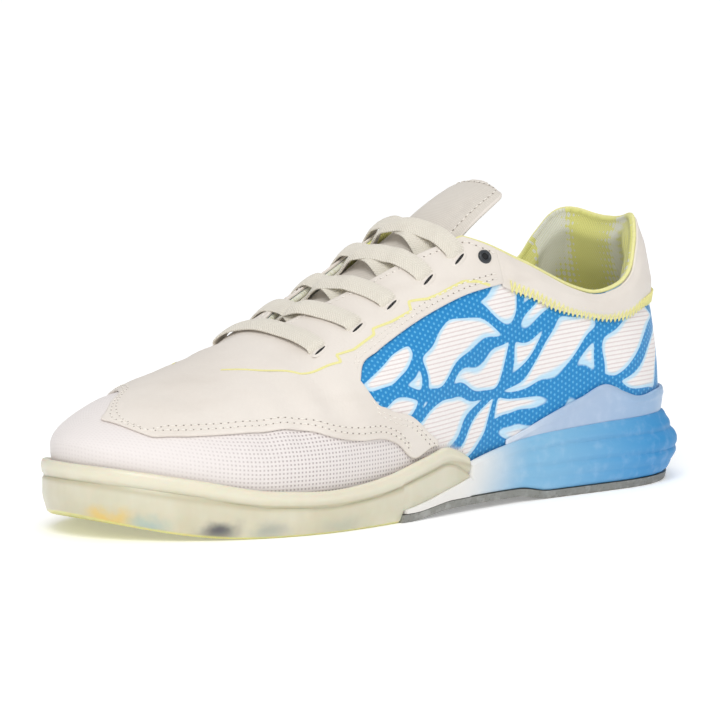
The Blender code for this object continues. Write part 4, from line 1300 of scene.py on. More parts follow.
def tube_graph() -> Graph:
    """Tree that lays a round cord along lines."""
    graph = Graph("laid cord", {"Radius": 0.0008, "Spacing": 0.0012})
    lines = graph.node("GeometryNodeMeshToCurve", None, {0: graph.size("Geometry")})
    even = graph.node("GeometryNodeResampleCurve", {"mode": "LENGTH"},
                      {"Curve": lines, "Length": graph.size("Spacing")})
    ring = graph.node("GeometryNodeCurvePrimitiveCircle", None,
                      {"Resolution": 8, "Radius": graph.size("Radius")})
    cord = graph.node("GeometryNodeCurveToMesh", None,
                      {"Curve": even, "Profile Curve": ring, "Fill Caps": True})
    graph.close(cord)
    return graph


def stations(start: float, end: float, count: int, extra: Iterable[float] = (),
             ends: Sequence[float] = ()) -> Array:
    """Shares of the last from start to end, evenly spread round the caps.

    Args:
        start: first share.
        end: last share.
        count: number of even steps.
        extra: further shares.
        ends: small distances in metres that are added inside both ends.

    Returns:
        Sorted shares.
    """
    a = np.linspace(float(LAST.blend_in(start)), float(LAST.blend_in(end)), count + 1)
    t = list(LAST.blend_out(a)[1:-1]) + [start, end]
    near = [start + d / LAST.run for d in ends] + [end - d / LAST.run for d in ends]
    more = [v for v in list(extra) + near if start < v < end]
    kept = [v for v in t if v in (start, end)
            or all(abs(v - w) * LAST.run > 0.0003 for w in more)]
    return np.array(sorted(set(kept + more)))


def fine_ends(count: int, length: float, steps: Sequence[float],
              low: bool = True) -> Array:
    """Shares from 0 to 1 with fine steps at both ends, or only at 1.

    Args:
        count: even steps between.
        length: length in metres that 1 stands for.
        steps: distances in metres from an end.
        low: fine steps at 0 too.

    Returns:
        Sorted shares.
    """
    near = [d / length for d in steps]
    values = [0.0] + (near if low else []) + [1.0 - d for d in near] + [1.0]
    first = near[-1] if low else 0.0
    values += list(np.linspace(first, 1.0 - near[-1], count + 1)[1:-1])
    return np.array(sorted(set(round(v, 7) for v in values)))


EDGE_STEPS = (0.0004, 0.0009, 0.0015, 0.0021, 0.0028, 0.0036)
THROAT_NEAR = tuple(float(LAST.at(LAST.throat_front - d))
                    for d in (0.0, 0.0004, 0.0012, 0.0025, 0.0045, 0.007, 0.010, 0.014, 0.019))


@dataclass
class Upper:
    """The upper's base: knitted outside, lined inside, padded at the collar."""

    wall: float = 0.002
    pad: float = 0.0042
    pad_depth: float = 0.042
    along: int = 250
    rows: int = 64

    # Folds of the lining: distance from the centre back, depth and half width, in metres
    FOLDS = ((0.024, 0.0010, 0.0030), (0.039, 0.0013, 0.0035),
             (0.052, 0.0008, 0.0028), (0.066, 0.0009, 0.0040))

    def padding(self, t: Array, side: int, p: Array, top: Array) -> Array:
        """Thickness of the collar's foam and the folds of the lining over it."""
        below = (top - p) * LAST.row_length(t, side, np.clip(p, 0.01, 0.99))
        swell = smooth(below / 0.007) * smooth((self.pad_depth - below) / 0.026)
        place = LAST.share(t)
        back = smooth((0.415 - place) / 0.06)
        u = SURFACE.uv(t, side, p)[..., 0] * side
        folds = 0.0
        for at, deep, wide in self.FOLDS:
            lean = at + (below - 0.015) * 0.25
            folds = folds + deep * np.exp(-((u - lean) / wide) ** 2)
        reach = smooth(below / 0.012) * smooth((0.050 - below) / 0.02)
        return (self.pad * swell - folds * reach) * back

    def build(self, finishes: Finishes) -> bpy.types.Object:
        """Makes the base of the upper."""
        sheet = Sheet(rim_steps=4)
        t = stations(0.0, 1.0, self.along, THROAT_NEAR)
        v = fine_ends(self.rows, 0.09, EDGE_STEPS[:4], low=False)
        for side in Side:
            top = LAST.top_row(t, side)[:, None]
            p = top * v[None, :]
            tt = np.broadcast_to(t[:, None], p.shape)
            place = LAST.share(tt)
            z = LAST.point(tt, side, p)[..., 2]
            border = (profile(SEAM_LOW, place) + profile(MESH_LOW, place)) / 2 * LAST.instep
            quarter = np.where(place < 0.46, 1.0, smooth((z - border) / 0.002 + 0.5))
            quarter = quarter * smooth((0.645 - place) / 0.005)
            under = (LAST.edge_row(MESH_TOP, LAST.instep, tt) - p) * LAST.row_length(
                tt, side, np.clip(p, 0.01, 0.99))
            brim = smooth((0.0110 - under) / 0.009) * smooth((place - 0.38) / 0.04)
            texture = 0.15 + 0.85 * smooth((0.935 - place) / 0.20)
            inner = LAST.skin(tt, side, p, -self.wall - self.padding(tt, side, p, top))
            sheet.grid(LAST.skin(tt, side, p, 0.0), inner, SURFACE.uv(tt, side, p),
                       quarter=quarter, texture=texture, brim=brim)
        piece = sheet.build("upper_cloth", [finishes.cloth, finishes.lining, finishes.lining])
        return keep(piece, "mesh_white", "upper")


@dataclass
class Overlay:
    """Smooth skin over vamp, eyestay and quarter, around the open mesh."""

    gap: float = 0.0001
    thickness: float = 0.0012
    inset: float = 0.004
    mesh_tip: float = 0.6346
    quarter_end: float = 0.520
    band_end: float = 0.3650
    # Front edge: share of the height from seam to ridge, place on the outer and inner side
    front_edge: tuple = ((0.00, 0.921, 0.826), (0.08, 0.932, 0.829), (0.18, 0.938, 0.833),
                         (0.32, 0.942, 0.839), (0.50, 0.941, 0.848), (0.70, 0.935, 0.861),
                         (0.85, 0.923, 0.874), (0.94, 0.910, 0.884), (1.00, 0.897, 0.897))

    @property
    def top(self) -> float:
        """Offset of the overlay's outer face."""
        return self.gap + self.thickness

    def seam(self, t: Array, side: int) -> Array:
        """Lower edge."""
        return LAST.edge_row(SEAM_LOW, LAST.instep, t)

    def mesh_low(self, t: Array, side: int) -> Array:
        """Lower edge of the open mesh."""
        return LAST.edge_row(MESH_LOW, LAST.instep, t)

    def mesh_top(self, t: Array, side: int) -> Array:
        """Upper edge of the open mesh."""
        return LAST.edge_row(MESH_TOP, LAST.instep, t)

    def high(self, t: Array, side: int) -> Array:
        """Upper edge: throat, collar or ridge."""
        closed = LAST.share(np.asarray(t)) >= LAST.throat_front - 1e-6
        return LAST.top_row(t, side) - np.where(closed, 0.0, self.inset)

    def front(self, side: int, v: Array) -> Array:
        """Place of the front edge at a share between seam and ridge."""
        return profile(self.front_edge, v, 1 if side < 0 else 2)

    def dots(self, place: Array, side: int, z: Array) -> Array:
        """Size of the printed dots on the inner side."""
        if side < 0:
            return np.zeros_like(place)
        along = smooth((place - 0.455) / 0.05) * smooth((0.70 - place) / 0.16)
        return along * smooth((z - 0.020) / 0.006) * smooth((0.064 - z) / 0.034)

    def _patch(self, sheet: Sheet, t: Array, side: int, low: Edge, high: Edge, v: Array,
               warp: bool = False) -> None:
        """Adds one grid between two edges."""
        tt = np.broadcast_to(t[:, None], (len(t), len(v))).copy()
        if warp:
            begin = float(LAST.at(0.76))
            end = tt[-1, 0]
            front = LAST.at(self.front(side, v))[None, :]
            run = (tt - begin) / (end - begin)
            tt = np.where(tt > begin, begin + (front - begin) * run, tt)
        bottom, top = low(tt, side), high(tt, side)
        p = bottom + (top - bottom) * v[None, :]
        uv = SURFACE.uv(tt, side, p)
        z = LAST.point(tt, side, p)[..., 2]
        dots = self.dots(LAST.share(tt), side, z)
        sheet.grid(LAST.skin(tt, side, p, self.top), LAST.skin(tt, side, p, self.gap), uv,
                   dots=dots)

    def build(self, finishes: Finishes) -> bpy.types.Object:
        """Makes the overlay."""
        sheet = Sheet(rim_steps=3)
        tip = float(LAST.at(self.mesh_tip))
        wide = fine_ends(20, 0.045, EDGE_STEPS)
        narrow = fine_ends(9, 0.018, EDGE_STEPS)
        front_t = stations(tip, float(LAST.at(0.944)), 110, THROAT_NEAR, EDGE_STEPS)
        back_t = stations(float(LAST.at(self.band_end)) + 0.002, tip, 110, (), EDGE_STEPS)
        low_t = stations(float(LAST.at(self.quarter_end)), tip, 48, (), EDGE_STEPS)
        for side in Side:
            seam_tip = float(self.seam(np.array([tip]), side)[0])
            high_tip = float(self.high(np.array([tip]), side)[0])
            mesh_tip = float(self.mesh_top(np.array([tip]), side)[0])
            level = (mesh_tip - seam_tip) / (high_tip - seam_tip)
            v = np.concatenate([narrow * level, level + wide[1:] * (1 - level)])
            self._patch(sheet, front_t, side, self.seam, self.high, v, warp=True)
            self._patch(sheet, back_t, side, self.mesh_top, self.high, wide)
            self._patch(sheet, low_t, side, self.seam, self.mesh_low, narrow)
        piece = sheet.build("vamp_skin", [finishes.skin])
        return keep(piece, "smooth_white", "vamp_overlay")

    def line(self, edge: Edge, side: int, start: float, end: float, inside: float,
             count: int = 160) -> tuple[Array, Array]:
        """Line on the overlay beside one of its edges.

        Args:
            edge: the edge.
            side: sign of the side of the foot.
            start: first place.
            end: last place.
            inside: distance from the edge, up the surface.
            count: number of steps.

        Returns:
            Points and outward directions.
        """
        t = LAST.at(np.linspace(start, end, count))
        p = edge(t, side)
        p = p + inside / LAST.row_length(t, side, np.clip(p, 0.01, 0.99))
        return LAST.skin(t, side, p, self.top), LAST.normal(t, side, p)

    def front_line(self, inside: float) -> tuple[Array, Array]:
        """Line beside the seam, from the outer side round the toe to the inner side."""
        points, ups = [], []
        for side in Side:
            edge_t = LAST.at(np.linspace(0.575, float(self.front(side, np.array(0.0))), 150))
            row = self.seam(edge_t, side)
            row = row + inside / LAST.row_length(edge_t, side, row)
            keep_t = edge_t < edge_t[-1] - inside / LAST.run * 1.2
            v = np.linspace(0.08, 1.0, 40)
            front = LAST.at(self.front(side, v))
            front = front - inside / LAST.run_length(front, side, np.full_like(front, 0.6))
            low, high = self.seam(front, side), self.high(front, side)
            front_row = low + (high - low) * v
            t = np.concatenate([edge_t[keep_t], front])
            p = np.concatenate([row[keep_t], front_row])
            line = LAST.skin(t, side, p, self.top)
            up = LAST.normal(t, side, p)
            points.append(line if side < 0 else line[::-1])
            ups.append(up if side < 0 else up[::-1])
        return np.concatenate(points), np.concatenate(ups)


@dataclass
class CollarBand:
    """Soft padded band below the collar line, around the heel."""

    gap: float = 0.0001
    thickness: float = 0.0011
    puff: float = 0.0011
    inset: float = 0.004
    band_end: float = 0.3650

    def low(self, t: Array, side: int) -> Array:
        """Lower edge."""
        return LAST.height_row(t, LAST.collar_height(BAND_LOW, LAST.share(t)))

    def high(self, t: Array, side: int) -> Array:
        """Upper edge."""
        return LAST.top_row(t, side) - self.inset

    def build(self, finishes: Finishes) -> bpy.types.Object:
        """Makes the band."""
        sheet = Sheet(rim_steps=3)
        t = stations(0.0, float(LAST.at(self.band_end)), 130)
        v = fine_ends(16, 0.022, EDGE_STEPS)
        for side in Side:
            low, high = self.low(t, side)[:, None], self.high(t, side)[:, None]
            p = low + (high - low) * v[None, :]
            tt = np.broadcast_to(t[:, None], p.shape)
            swell = smooth(v / 0.25) * smooth((1 - v) / 0.35)
            end = smooth((LAST.at(self.band_end) - tt) * LAST.run / 0.006)
            outer = self.gap + self.thickness + self.puff * swell[None, :] * end
            sheet.grid(LAST.skin(tt, side, p, outer), LAST.skin(tt, side, p, self.gap),
                       SURFACE.uv(tt, side, p), dots=0.0 * tt)
        piece = sheet.build("collar_band_skin", [finishes.skin])
        return keep(piece, "smooth_white", "collar_band")


@dataclass
class HeelClip:
    """Moulded clip around the heel, with a raised upper edge."""

    gap: float = 0.0001
    thickness: float = 0.0018
    end: float = 0.3750

    def high(self, t: Array, side: int) -> Array:
        """Upper edge."""
        return LAST.edge_row(CLIP_TOP, LAST.heel_stack, t)

    def build(self, finishes: Finishes) -> bpy.types.Object:
        """Makes the clip."""
        sheet = Sheet(rim_steps=3)
        t = stations(0.0, float(LAST.at(self.end)), 130)
        v = fine_ends(14, 0.012, EDGE_STEPS[:4])
        for side in Side:
            lip = profile(LIP_TOP, LAST.share(t)) * LAST.heel_stack + 0.0004
            low, high = LAST.height_row(t, lip)[:, None], self.high(t, side)[:, None]
            p = low + (high - low) * v[None, :]
            tt = np.broadcast_to(t[:, None], p.shape)
            away = (high - p) * LAST.row_length(tt, side, p)
            bead = 0.0003 * np.exp(-((away - 0.0012) / 0.0007) ** 2)
            thin = smooth((LAST.at(self.end) - tt) * LAST.run / 0.030)
            outer = self.gap + self.thickness * (0.45 + 0.55 * thin) + bead
            sheet.grid(LAST.skin(tt, side, p, outer), LAST.skin(tt, side, p, self.gap),
                       SURFACE.uv(tt, side, p))
        piece = sheet.build("heel_clip_shell", [finishes.clip])
        return keep(piece, "clip_blue", "heel_clip")


@dataclass
class Sole:
    """Foam wedge, clear rubber cup and grey tread."""

    gap: float = 0.0003
    tread: float = 0.003
    cup_floor: float = 0.004
    cup_wall: float = 0.0028
    rim_step: float = 0.0042
    step_depth: float = 0.0008
    cup_taper: float = 0.0016
    tread_taper: float = 0.0006
    wing_end: float = 0.4615
    cup_start: float = 0.5955
    lug_depth: float = 0.0011
    groove_width: float = 0.0022
    levels: int = 40
    across: int = 84

    # Ribs (and furrows, below 0) of the foam: level from lip to bottom, height, half width
    RIBS = ((0.30, -0.00065, 0.038), (0.60, -0.00055, 0.036), (0.82, -0.0003, 0.03),
            (0.19, 0.0004, 0.055), (0.45, 0.0003, 0.090), (0.70, 0.0003, 0.06))

    def flare(self, t: Array, z: Array) -> Array:
        """Overhang of the foam and tread beyond the upper at a height."""
        level = z / LAST.heel_stack
        behind = profile(FLARES, level, 2) * (1 - np.minimum(t / 0.22, 1.0)) ** 1.3
        return (profile(FLARES, level, 1) + behind) * LAST.length

    def lugs(self, points: Array, grooves: Sequence[float], edge: Array) -> Array:
        """Depth of the tread's pattern at points of the lower face.

        Args:
            points: points of the lower face.
            grooves: places of the straight grooves across.
            edge: share from 0 at the sole's edge to 1 inside it.

        Returns:
            Lift of the face at each point.
        """
        bend = np.abs((points[..., 1] / 0.018) % 2 - 1) * 0.006
        wave = np.abs(((points[..., 0] + bend) / 0.0062) % 1 - 0.5) * 2
        depth = smooth((wave - 0.58) / 0.16) * 0.85
        place = LAST.place_of(points)
        for groove in grooves:
            apart = np.abs(place - groove) * LAST.length
            depth = np.maximum(depth, smooth((self.groove_width / 2 - apart) / 0.0006 + 0.5))
        return depth * self.lug_depth * smooth((edge - 0.02) / 0.05)

    def _bottom(self, left: Array, right: Array, height: Callable, grooves: Sequence[float],
                pattern: bool) -> Array:
        """Points across between two lower edges, with the tread pattern."""
        w = np.linspace(0, 1, self.across + 1)[1:-1]
        flat = left[:, None, :] + (right - left)[:, None, :] * w[None, :, None]
        flat[..., 2] = height(LAST.place_of(flat))
        if pattern:
            edge = np.minimum(w, 1 - w)[None, :] * 2
            flat[..., 2] += self.lugs(flat, grooves, np.broadcast_to(edge, flat.shape[:2]))
        return flat

    def _join(self, sides: list[tuple[Array, Array]], height: Callable, inner_height: Callable,
              grooves: Sequence[float], pattern: bool) -> tuple[Array, Array]:
        """Joins the chains of both sides across the sole."""
        (out_a, in_a), (out_b, in_b) = sides
        outer = self._bottom(out_a[:, -1], out_b[:, -1], height, grooves, pattern)
        inner = self._bottom(in_a[:, -1], in_b[:, -1], inner_height, grooves, False)
        return (np.concatenate([out_a, outer, out_b[:, ::-1]], 1),
                np.concatenate([in_a, inner, in_b[:, ::-1]], 1))

    def _uv(self, outer: Array) -> Array:
        """Pattern coordinates along X and round the section."""
        steps = np.linalg.norm(np.diff(outer, axis=1), axis=-1)
        round_it = np.concatenate([np.zeros((len(outer), 1)), np.cumsum(steps, 1)], 1)
        return np.stack([outer[..., 0], round_it], -1)

    def cup_side(self, t: Array, side: int, low: Array | None) -> tuple[Array, Array, Array]:
        """Wall of the cup, from rim to floor or to the wing's lower edge."""
        place = LAST.share(t)[:, None]
        rim = profile(CUP_RIM, place) * LAST.fore_stack + LAST.spring(place)
        foot = LAST.floor_line(place) if low is None else low[:, None]
        inside = LAST.floor_line(place) + self.cup_floor if low is None else low[:, None]
        w = fine_ends(24, 0.016, (0.0004, 0.0009))[None, :]
        z = rim + (foot - rim) * w
        rise = (z - LAST.floor_line(place)) / (profile(CUP_RIM, place) * LAST.fore_stack)
        taper = self.cup_taper * (1 - smooth(rise / 0.45))
        round_foot = 0.0012 * smooth((w - 0.93) / 0.07) ** 2 if low is None else 0.0
        line = rim - self.rim_step
        groove = self.step_depth * np.exp(-((z - line + 0.0006) / 0.0006) ** 2)
        lower = 0.25 * self.step_depth * smooth((line - z) / 0.001)
        crest = 0.0003 * np.exp(-((rim - z - 0.0014) / 0.0009) ** 2)
        out = self.gap + self.cup_wall - taper - groove - lower + crest - round_foot
        outer = LAST.rim_point(np.broadcast_to(t[:, None], z.shape), side, out, z)
        z_in = rim + (inside - rim) * w
        inner = LAST.rim_point(np.broadcast_to(t[:, None], z.shape), side, self.gap, z_in)
        if low is None:
            for points, lift in ((outer, 0.0), (inner, self.cup_floor)):
                points[:, -1, 2] = LAST.floor_line(LAST.place_of(points[:, -1])) + lift
        return outer, inner, np.broadcast_to(w, z.shape)

    def build_cup(self, finishes: Finishes) -> bpy.types.Object:
        """Makes the clear rubber cup."""
        sheet = Sheet(rim_steps=3, bulge=0.8)
        start = float(LAST.at(self.cup_start))
        t = stations(start, 1.0, 190)
        chains = [self.cup_side(t, side, None) for side in Side]
        outer, inner = self._join([chain[:2] for chain in chains], LAST.floor_line,
                                  lambda place: LAST.floor_line(place) + self.cup_floor,
                                  FORE_GROOVES, True)
        low = np.concatenate([chains[0][2], np.ones((len(t), self.across - 1)),
                              chains[1][2][:, ::-1]], 1)
        sheet.grid(outer, inner, self._uv(outer), low=low)
        t = stations(float(LAST.at(self.wing_end)), start - 3 * self.gap / LAST.run, 70)
        low_edge = profile(WING_LOW, LAST.share(t)) * LAST.fore_stack
        for side in Side:
            outer, inner, low = self.cup_side(t, side, low_edge)
            last_outer, last_inner, last_low = self.cup_side(np.array([start]), side, None)
            outer = np.concatenate([outer, last_outer])
            inner = np.concatenate([inner, last_inner])
            sheet.grid(outer, inner, self._uv(outer), low=np.concatenate([low * 0.9, last_low]))
        piece = sheet.build("rubber_cup", [finishes.rubber])
        return keep(piece, "clear_rubber", "cupsole")

    def ribs(self, level: Array, place: Array) -> Array:
        """Relief of the foam's side at a share from lip to bottom."""
        strength = smooth((self.wing_end - place) / 0.22)
        drop = 0.05 * smooth((place - 0.10) / 0.25)
        relief = np.zeros(np.broadcast(level, place).shape)
        for at, high, wide in self.RIBS:
            relief = relief + high * np.exp(-((level - at + drop) / wide) ** 2)
        return relief * strength

    def build_foam(self, finishes: Finishes) -> bpy.types.Object:
        """Makes the foam wedge."""
        sheet = Sheet(rim_steps=3, bulge=0.6)
        wing = float(LAST.at(self.wing_end))
        cup = float(LAST.at(self.cup_start))
        step = 2 * self.gap / LAST.run
        half = self.levels // 2

        def bed(place: Array) -> Array:
            """Top of the foam."""
            return LAST.foot_bed(place) - self.gap

        def over_tread(place: Array) -> Array:
            """Lower face over the tread."""
            return LAST.floor_line(place) + self.tread + self.gap

        def over_cup(place: Array) -> Array:
            """Lower face over the cup's floor."""
            return LAST.floor_line(place) + self.cup_floor + self.gap

        w = np.linspace(0, 1, self.levels + 1)[None, :]
        number = np.arange(self.levels + 1)[None, :]
        parts = []
        t = stations(0.0, wing - 3 * step, 170)
        place = LAST.share(t)[:, None]
        lip = profile(LIP_TOP, place) * LAST.heel_stack
        chains = []
        for side in Side:
            z = lip + (over_tread(place) - lip) * w
            out = self.flare(t[:, None], z) + self.ribs(w, place)
            out = (out - 0.0010 * smooth((0.05 - w) / 0.05) ** 2
                   - 0.0008 * smooth((w - 0.96) / 0.04))
            tt = np.broadcast_to(t[:, None], z.shape)
            outer = LAST.rim_point(tt, side, out, z)
            outer[:, -1, 2] = over_tread(LAST.place_of(outer[:, -1]))
            down = np.minimum(number / half, 1.0)
            inward = self.gap - 0.0060 * np.maximum(number - half, 0) / half
            z_in = lip + (bed(place) - lip) * down
            inner = LAST.rim_point(tt, side, np.broadcast_to(inward, z.shape), z_in)
            flat = np.broadcast_to(down >= 1, z.shape)
            inner[..., 2] = np.where(flat, bed(LAST.place_of(inner)), inner[..., 2])
            chains.append((outer, inner))
        parts.append(chains)
        for start, end, ledge_share in ((wing - step / 2, cup - 4 * step, 1.0),
                                        (cup - 3 * step, cup - 3 * step, 0.0)):
            t = stations(start, end, 60) if end > start else np.array([start])
            place = LAST.share(t)[:, None]
            low = over_tread(place)
            ledge = np.maximum(profile(WING_LOW, place) * LAST.fore_stack - self.gap,
                               low + self.gap)
            chains = []
            for side in Side:
                k = np.minimum(number / half, 1.0)
                rest = np.maximum(number - half, 0) / (self.levels - half)
                z = np.where(number < half, bed(place) + (ledge - bed(place)) * k,
                             ledge + (low - ledge) * rest)
                out = np.where(number < half, 0.0, self.flare(t[:, None], z) * ledge_share)
                tt = np.broadcast_to(t[:, None], z.shape)
                outer = LAST.rim_point(tt, side, out, z)
                inner = LAST.rim_point(tt, side, -self.gap - 0.0036 * (number + 1) / self.levels
                                       + 0 * z, bed)
                chains.append((outer, inner))
            parts.append(chains)
        t = stations(cup - 2 * step, 1.0, 60)
        place = LAST.share(t)[:, None]
        chains = []
        for side in Side:
            z = bed(place) + (over_cup(place) - bed(place)) * w
            tt = np.broadcast_to(t[:, None], z.shape)
            outer = LAST.rim_point(tt, side, -self.gap, z)
            for k, rule in ((0, bed), (-1, over_cup)):
                outer[:, k, 2] = rule(LAST.place_of(outer[:, k]))
            inner = LAST.rim_point(tt, side, -2 * self.gap - 0.0036 * (number + 1) / self.levels
                                   + 0 * z, bed)
            chains.append((outer, inner))
        parts.append(chains)
        was, self.across = self.across, 12
        joined = [self._join(chains, rule, bed, (), False)
                  for chains, rule in zip(parts, (over_tread, over_tread, over_tread, over_cup))]
        self.across = was
        outer = np.concatenate([pair[0] for pair in joined])
        inner = np.concatenate([pair[1] for pair in joined])
        sheet.grid(outer, inner, self._uv(outer))
        piece = sheet.build("foam_wedge", [finishes.foam], 40.0)
        return keep(piece, "foam", "midsole")

    def build_tread(self, finishes: Finishes) -> bpy.types.Object:
        """Makes the grey tread."""
        sheet = Sheet(rim_steps=1, bulge=0.1)
        t = stations(0.0, float(LAST.at(self.cup_start)) - 2 * self.gap / LAST.run, 200)

        def top(place: Array) -> Array:
            """Upper face."""
            return LAST.floor_line(place) + self.tread

        chains = []
        w = np.array([0.0, 0.12, 0.3, 0.5, 0.7, 0.88, 1.0])[None, :]
        place = LAST.share(t)[:, None]
        for side in Side:
            base = self.flare(t, top(LAST.share(t)))[:, None]
            z = top(place) - self.tread * w
            out = base - self.tread_taper * w - 0.0005 * smooth((w - 0.8) / 0.2)
            tt = np.broadcast_to(t[:, None], z.shape)
            outer = LAST.rim_point(tt, side, out, z)
            outer[:, 0, 2] = top(LAST.place_of(outer[:, 0]))
            outer[:, -1, 2] = LAST.floor_line(LAST.place_of(outer[:, -1]))
            inset = 0.0004 * np.arange(w.shape[1])[None, :]
            inner = LAST.rim_point(tt, side, base - 0.0002 - inset, top)
            chains.append((outer, inner))
        outer, inner = self._join(chains, LAST.floor_line, top, HEEL_GROOVES, True)
        sheet.grid(outer, inner, self._uv(outer))
        piece = sheet.build("grey_tread", [finishes.tread], 40.0)
        return keep(piece, "grey_rubber", "heel_outsole")


@dataclass
class Insole:
    """Cupped insole on the foot bed."""

    thickness: float = 0.0035
    inset: float = 0.0056

    def build(self, finishes: Finishes) -> bpy.types.Object:
        """Makes the insole."""
        sheet = Sheet(rim_steps=3)
        t = stations(0.0, 1.0, 120)
        outer, inner = (LAST.rim_point(t, side, -self.inset, LAST.foot_bed) for side in Side)
        w = np.linspace(0, 1, 41)
        base = outer[:, None, :] + (inner - outer)[:, None, :] * w[None, :, None]
        place = LAST.place_of(base)
        base[..., 2] = LAST.foot_bed(place)
        side = np.abs(w - 0.5)[None, :] * 2
        cup = 0.0014 * smooth((side - 0.72) / 0.28) * smooth((0.62 - place) / 0.2)
        top = base + np.stack([0 * cup, 0 * cup, self.thickness + cup], -1)
        sheet.grid(top, base + np.array([0, 0, 0.0001]), top[..., :2])
        piece = sheet.build("insole_pad", [finishes.insole])
        return keep(piece, "lining", "insole")


@dataclass
class Tongue:
    """Padded tongue under the throat, with a free end above the collar."""

    under: float = 0.0034
    thickness: float = 0.0034
    rise: float = 0.0145
    width: float = 0.045
    front: float = 0.72
    tip: float = 0.308
    rows: int = 110
    columns: int = 36

    def _surface(self, t: Array, y: Array, offset: Array) -> Array:
        """Points over the last beside its ridge line."""
        points = np.empty(t.shape + (3,))
        for side in Side:
            mask = (y < 0) if side < 0 else (y >= 0)
            row = LAST.distance_row(t[mask], side, np.abs(y[mask]))
            points[mask] = LAST.skin(t[mask], side, row, offset[mask])
        return points

    def build(self, finishes: Finishes) -> bpy.types.Object:
        """Makes the tongue."""
        sheet = Sheet(rim_steps=4)
        end = float(LAST.at(LAST.throat_top))
        t_line = np.linspace(float(LAST.at(self.front)), end, self.rows)
        w = np.linspace(-1, 1, self.columns + 1)
        reach = np.linspace(0, 1, 46)[1:]
        width = np.concatenate([np.ones(self.rows), self.outline(reach)])
        y = self.width / 2 * w[None, :] * width[:, None]
        t = np.broadcast_to(t_line[:, None], (self.rows, len(w)))
        puff = (1 - np.abs(w) ** 3)[None, :]
        channel = 0.0005 * np.exp(-((np.abs(w) - 0.62) / 0.035) ** 2)[None, :]
        edge = self.thickness * (0.35 + 0.65 * puff) - channel
        top = self._surface(t, y[:self.rows], np.full(t.shape, -self.under) - channel)
        low = self._surface(t, y[:self.rows], -self.under - edge + 0 * t)
        base_top, base_low = top[-1], low[-1]
        run = (LAST.throat_top - self.tip) * LAST.length
        middle = float(LAST.middle(np.array(end)))
        flaps = []
        for base in (base_top, base_low):
            centre = base[len(w) // 2]
            moved = np.repeat(base[None], len(reach), 0)
            moved[..., 0] += run * reach[:, None]
            moved[..., 1] = middle + (base[None, :, 1] - middle) * self.outline(reach)[:, None]
            lift = self.rise * reach + 0.0012 * np.sin(reach * math.pi)
            moved[..., 2] += lift[:, None]
            moved[..., 2] += (centre[2] - base[None, :, 2]) * reach[:, None] * 0.6
            flaps.append(moved)
        thin = smooth((reach - 0.55) / 0.45)[:, None, None] * 0.35
        flaps[1] = flaps[1] + (flaps[0] - flaps[1]) * thin
        outer = np.concatenate([top, flaps[0]])
        inner = np.concatenate([low, flaps[1]])
        u = lengths(outer[:, len(w) // 2])
        uv = np.stack(np.broadcast_arrays(u[:, None], y), -1)
        sheet.grid(outer, inner, uv)
        piece = sheet.build("tongue_pad", [finishes.tongue, finishes.lining, finishes.skin])
        self.edge_points = outer
        return keep(piece, "smooth_white", "tongue")

    def outline(self, reach: Array) -> Array:
        """Width of the free end as a share of the full width."""
        end = np.clip((reach - 0.84) / 0.16, 0, 1)
        return (1 - 0.13 * reach) * (1 - 0.42 * (1 - np.sqrt(1 - end ** 2 * 0.999)))

    def stitches(self) -> tuple[Array, Array]:
        """Line round the free end, inside its edge."""
        grid = self.edge_points
        k = 3
        left = grid[-60:-3, k]
        right = grid[-60:-3, -1 - k]
        tip = grid[-3, k:-k]
        line = np.concatenate([left, tip[1:-1], right[::-1]])
        up = np.tile(np.array([-0.3, 0.0, 0.95]), (len(line), 1))
        return line + up * 0.0001, up


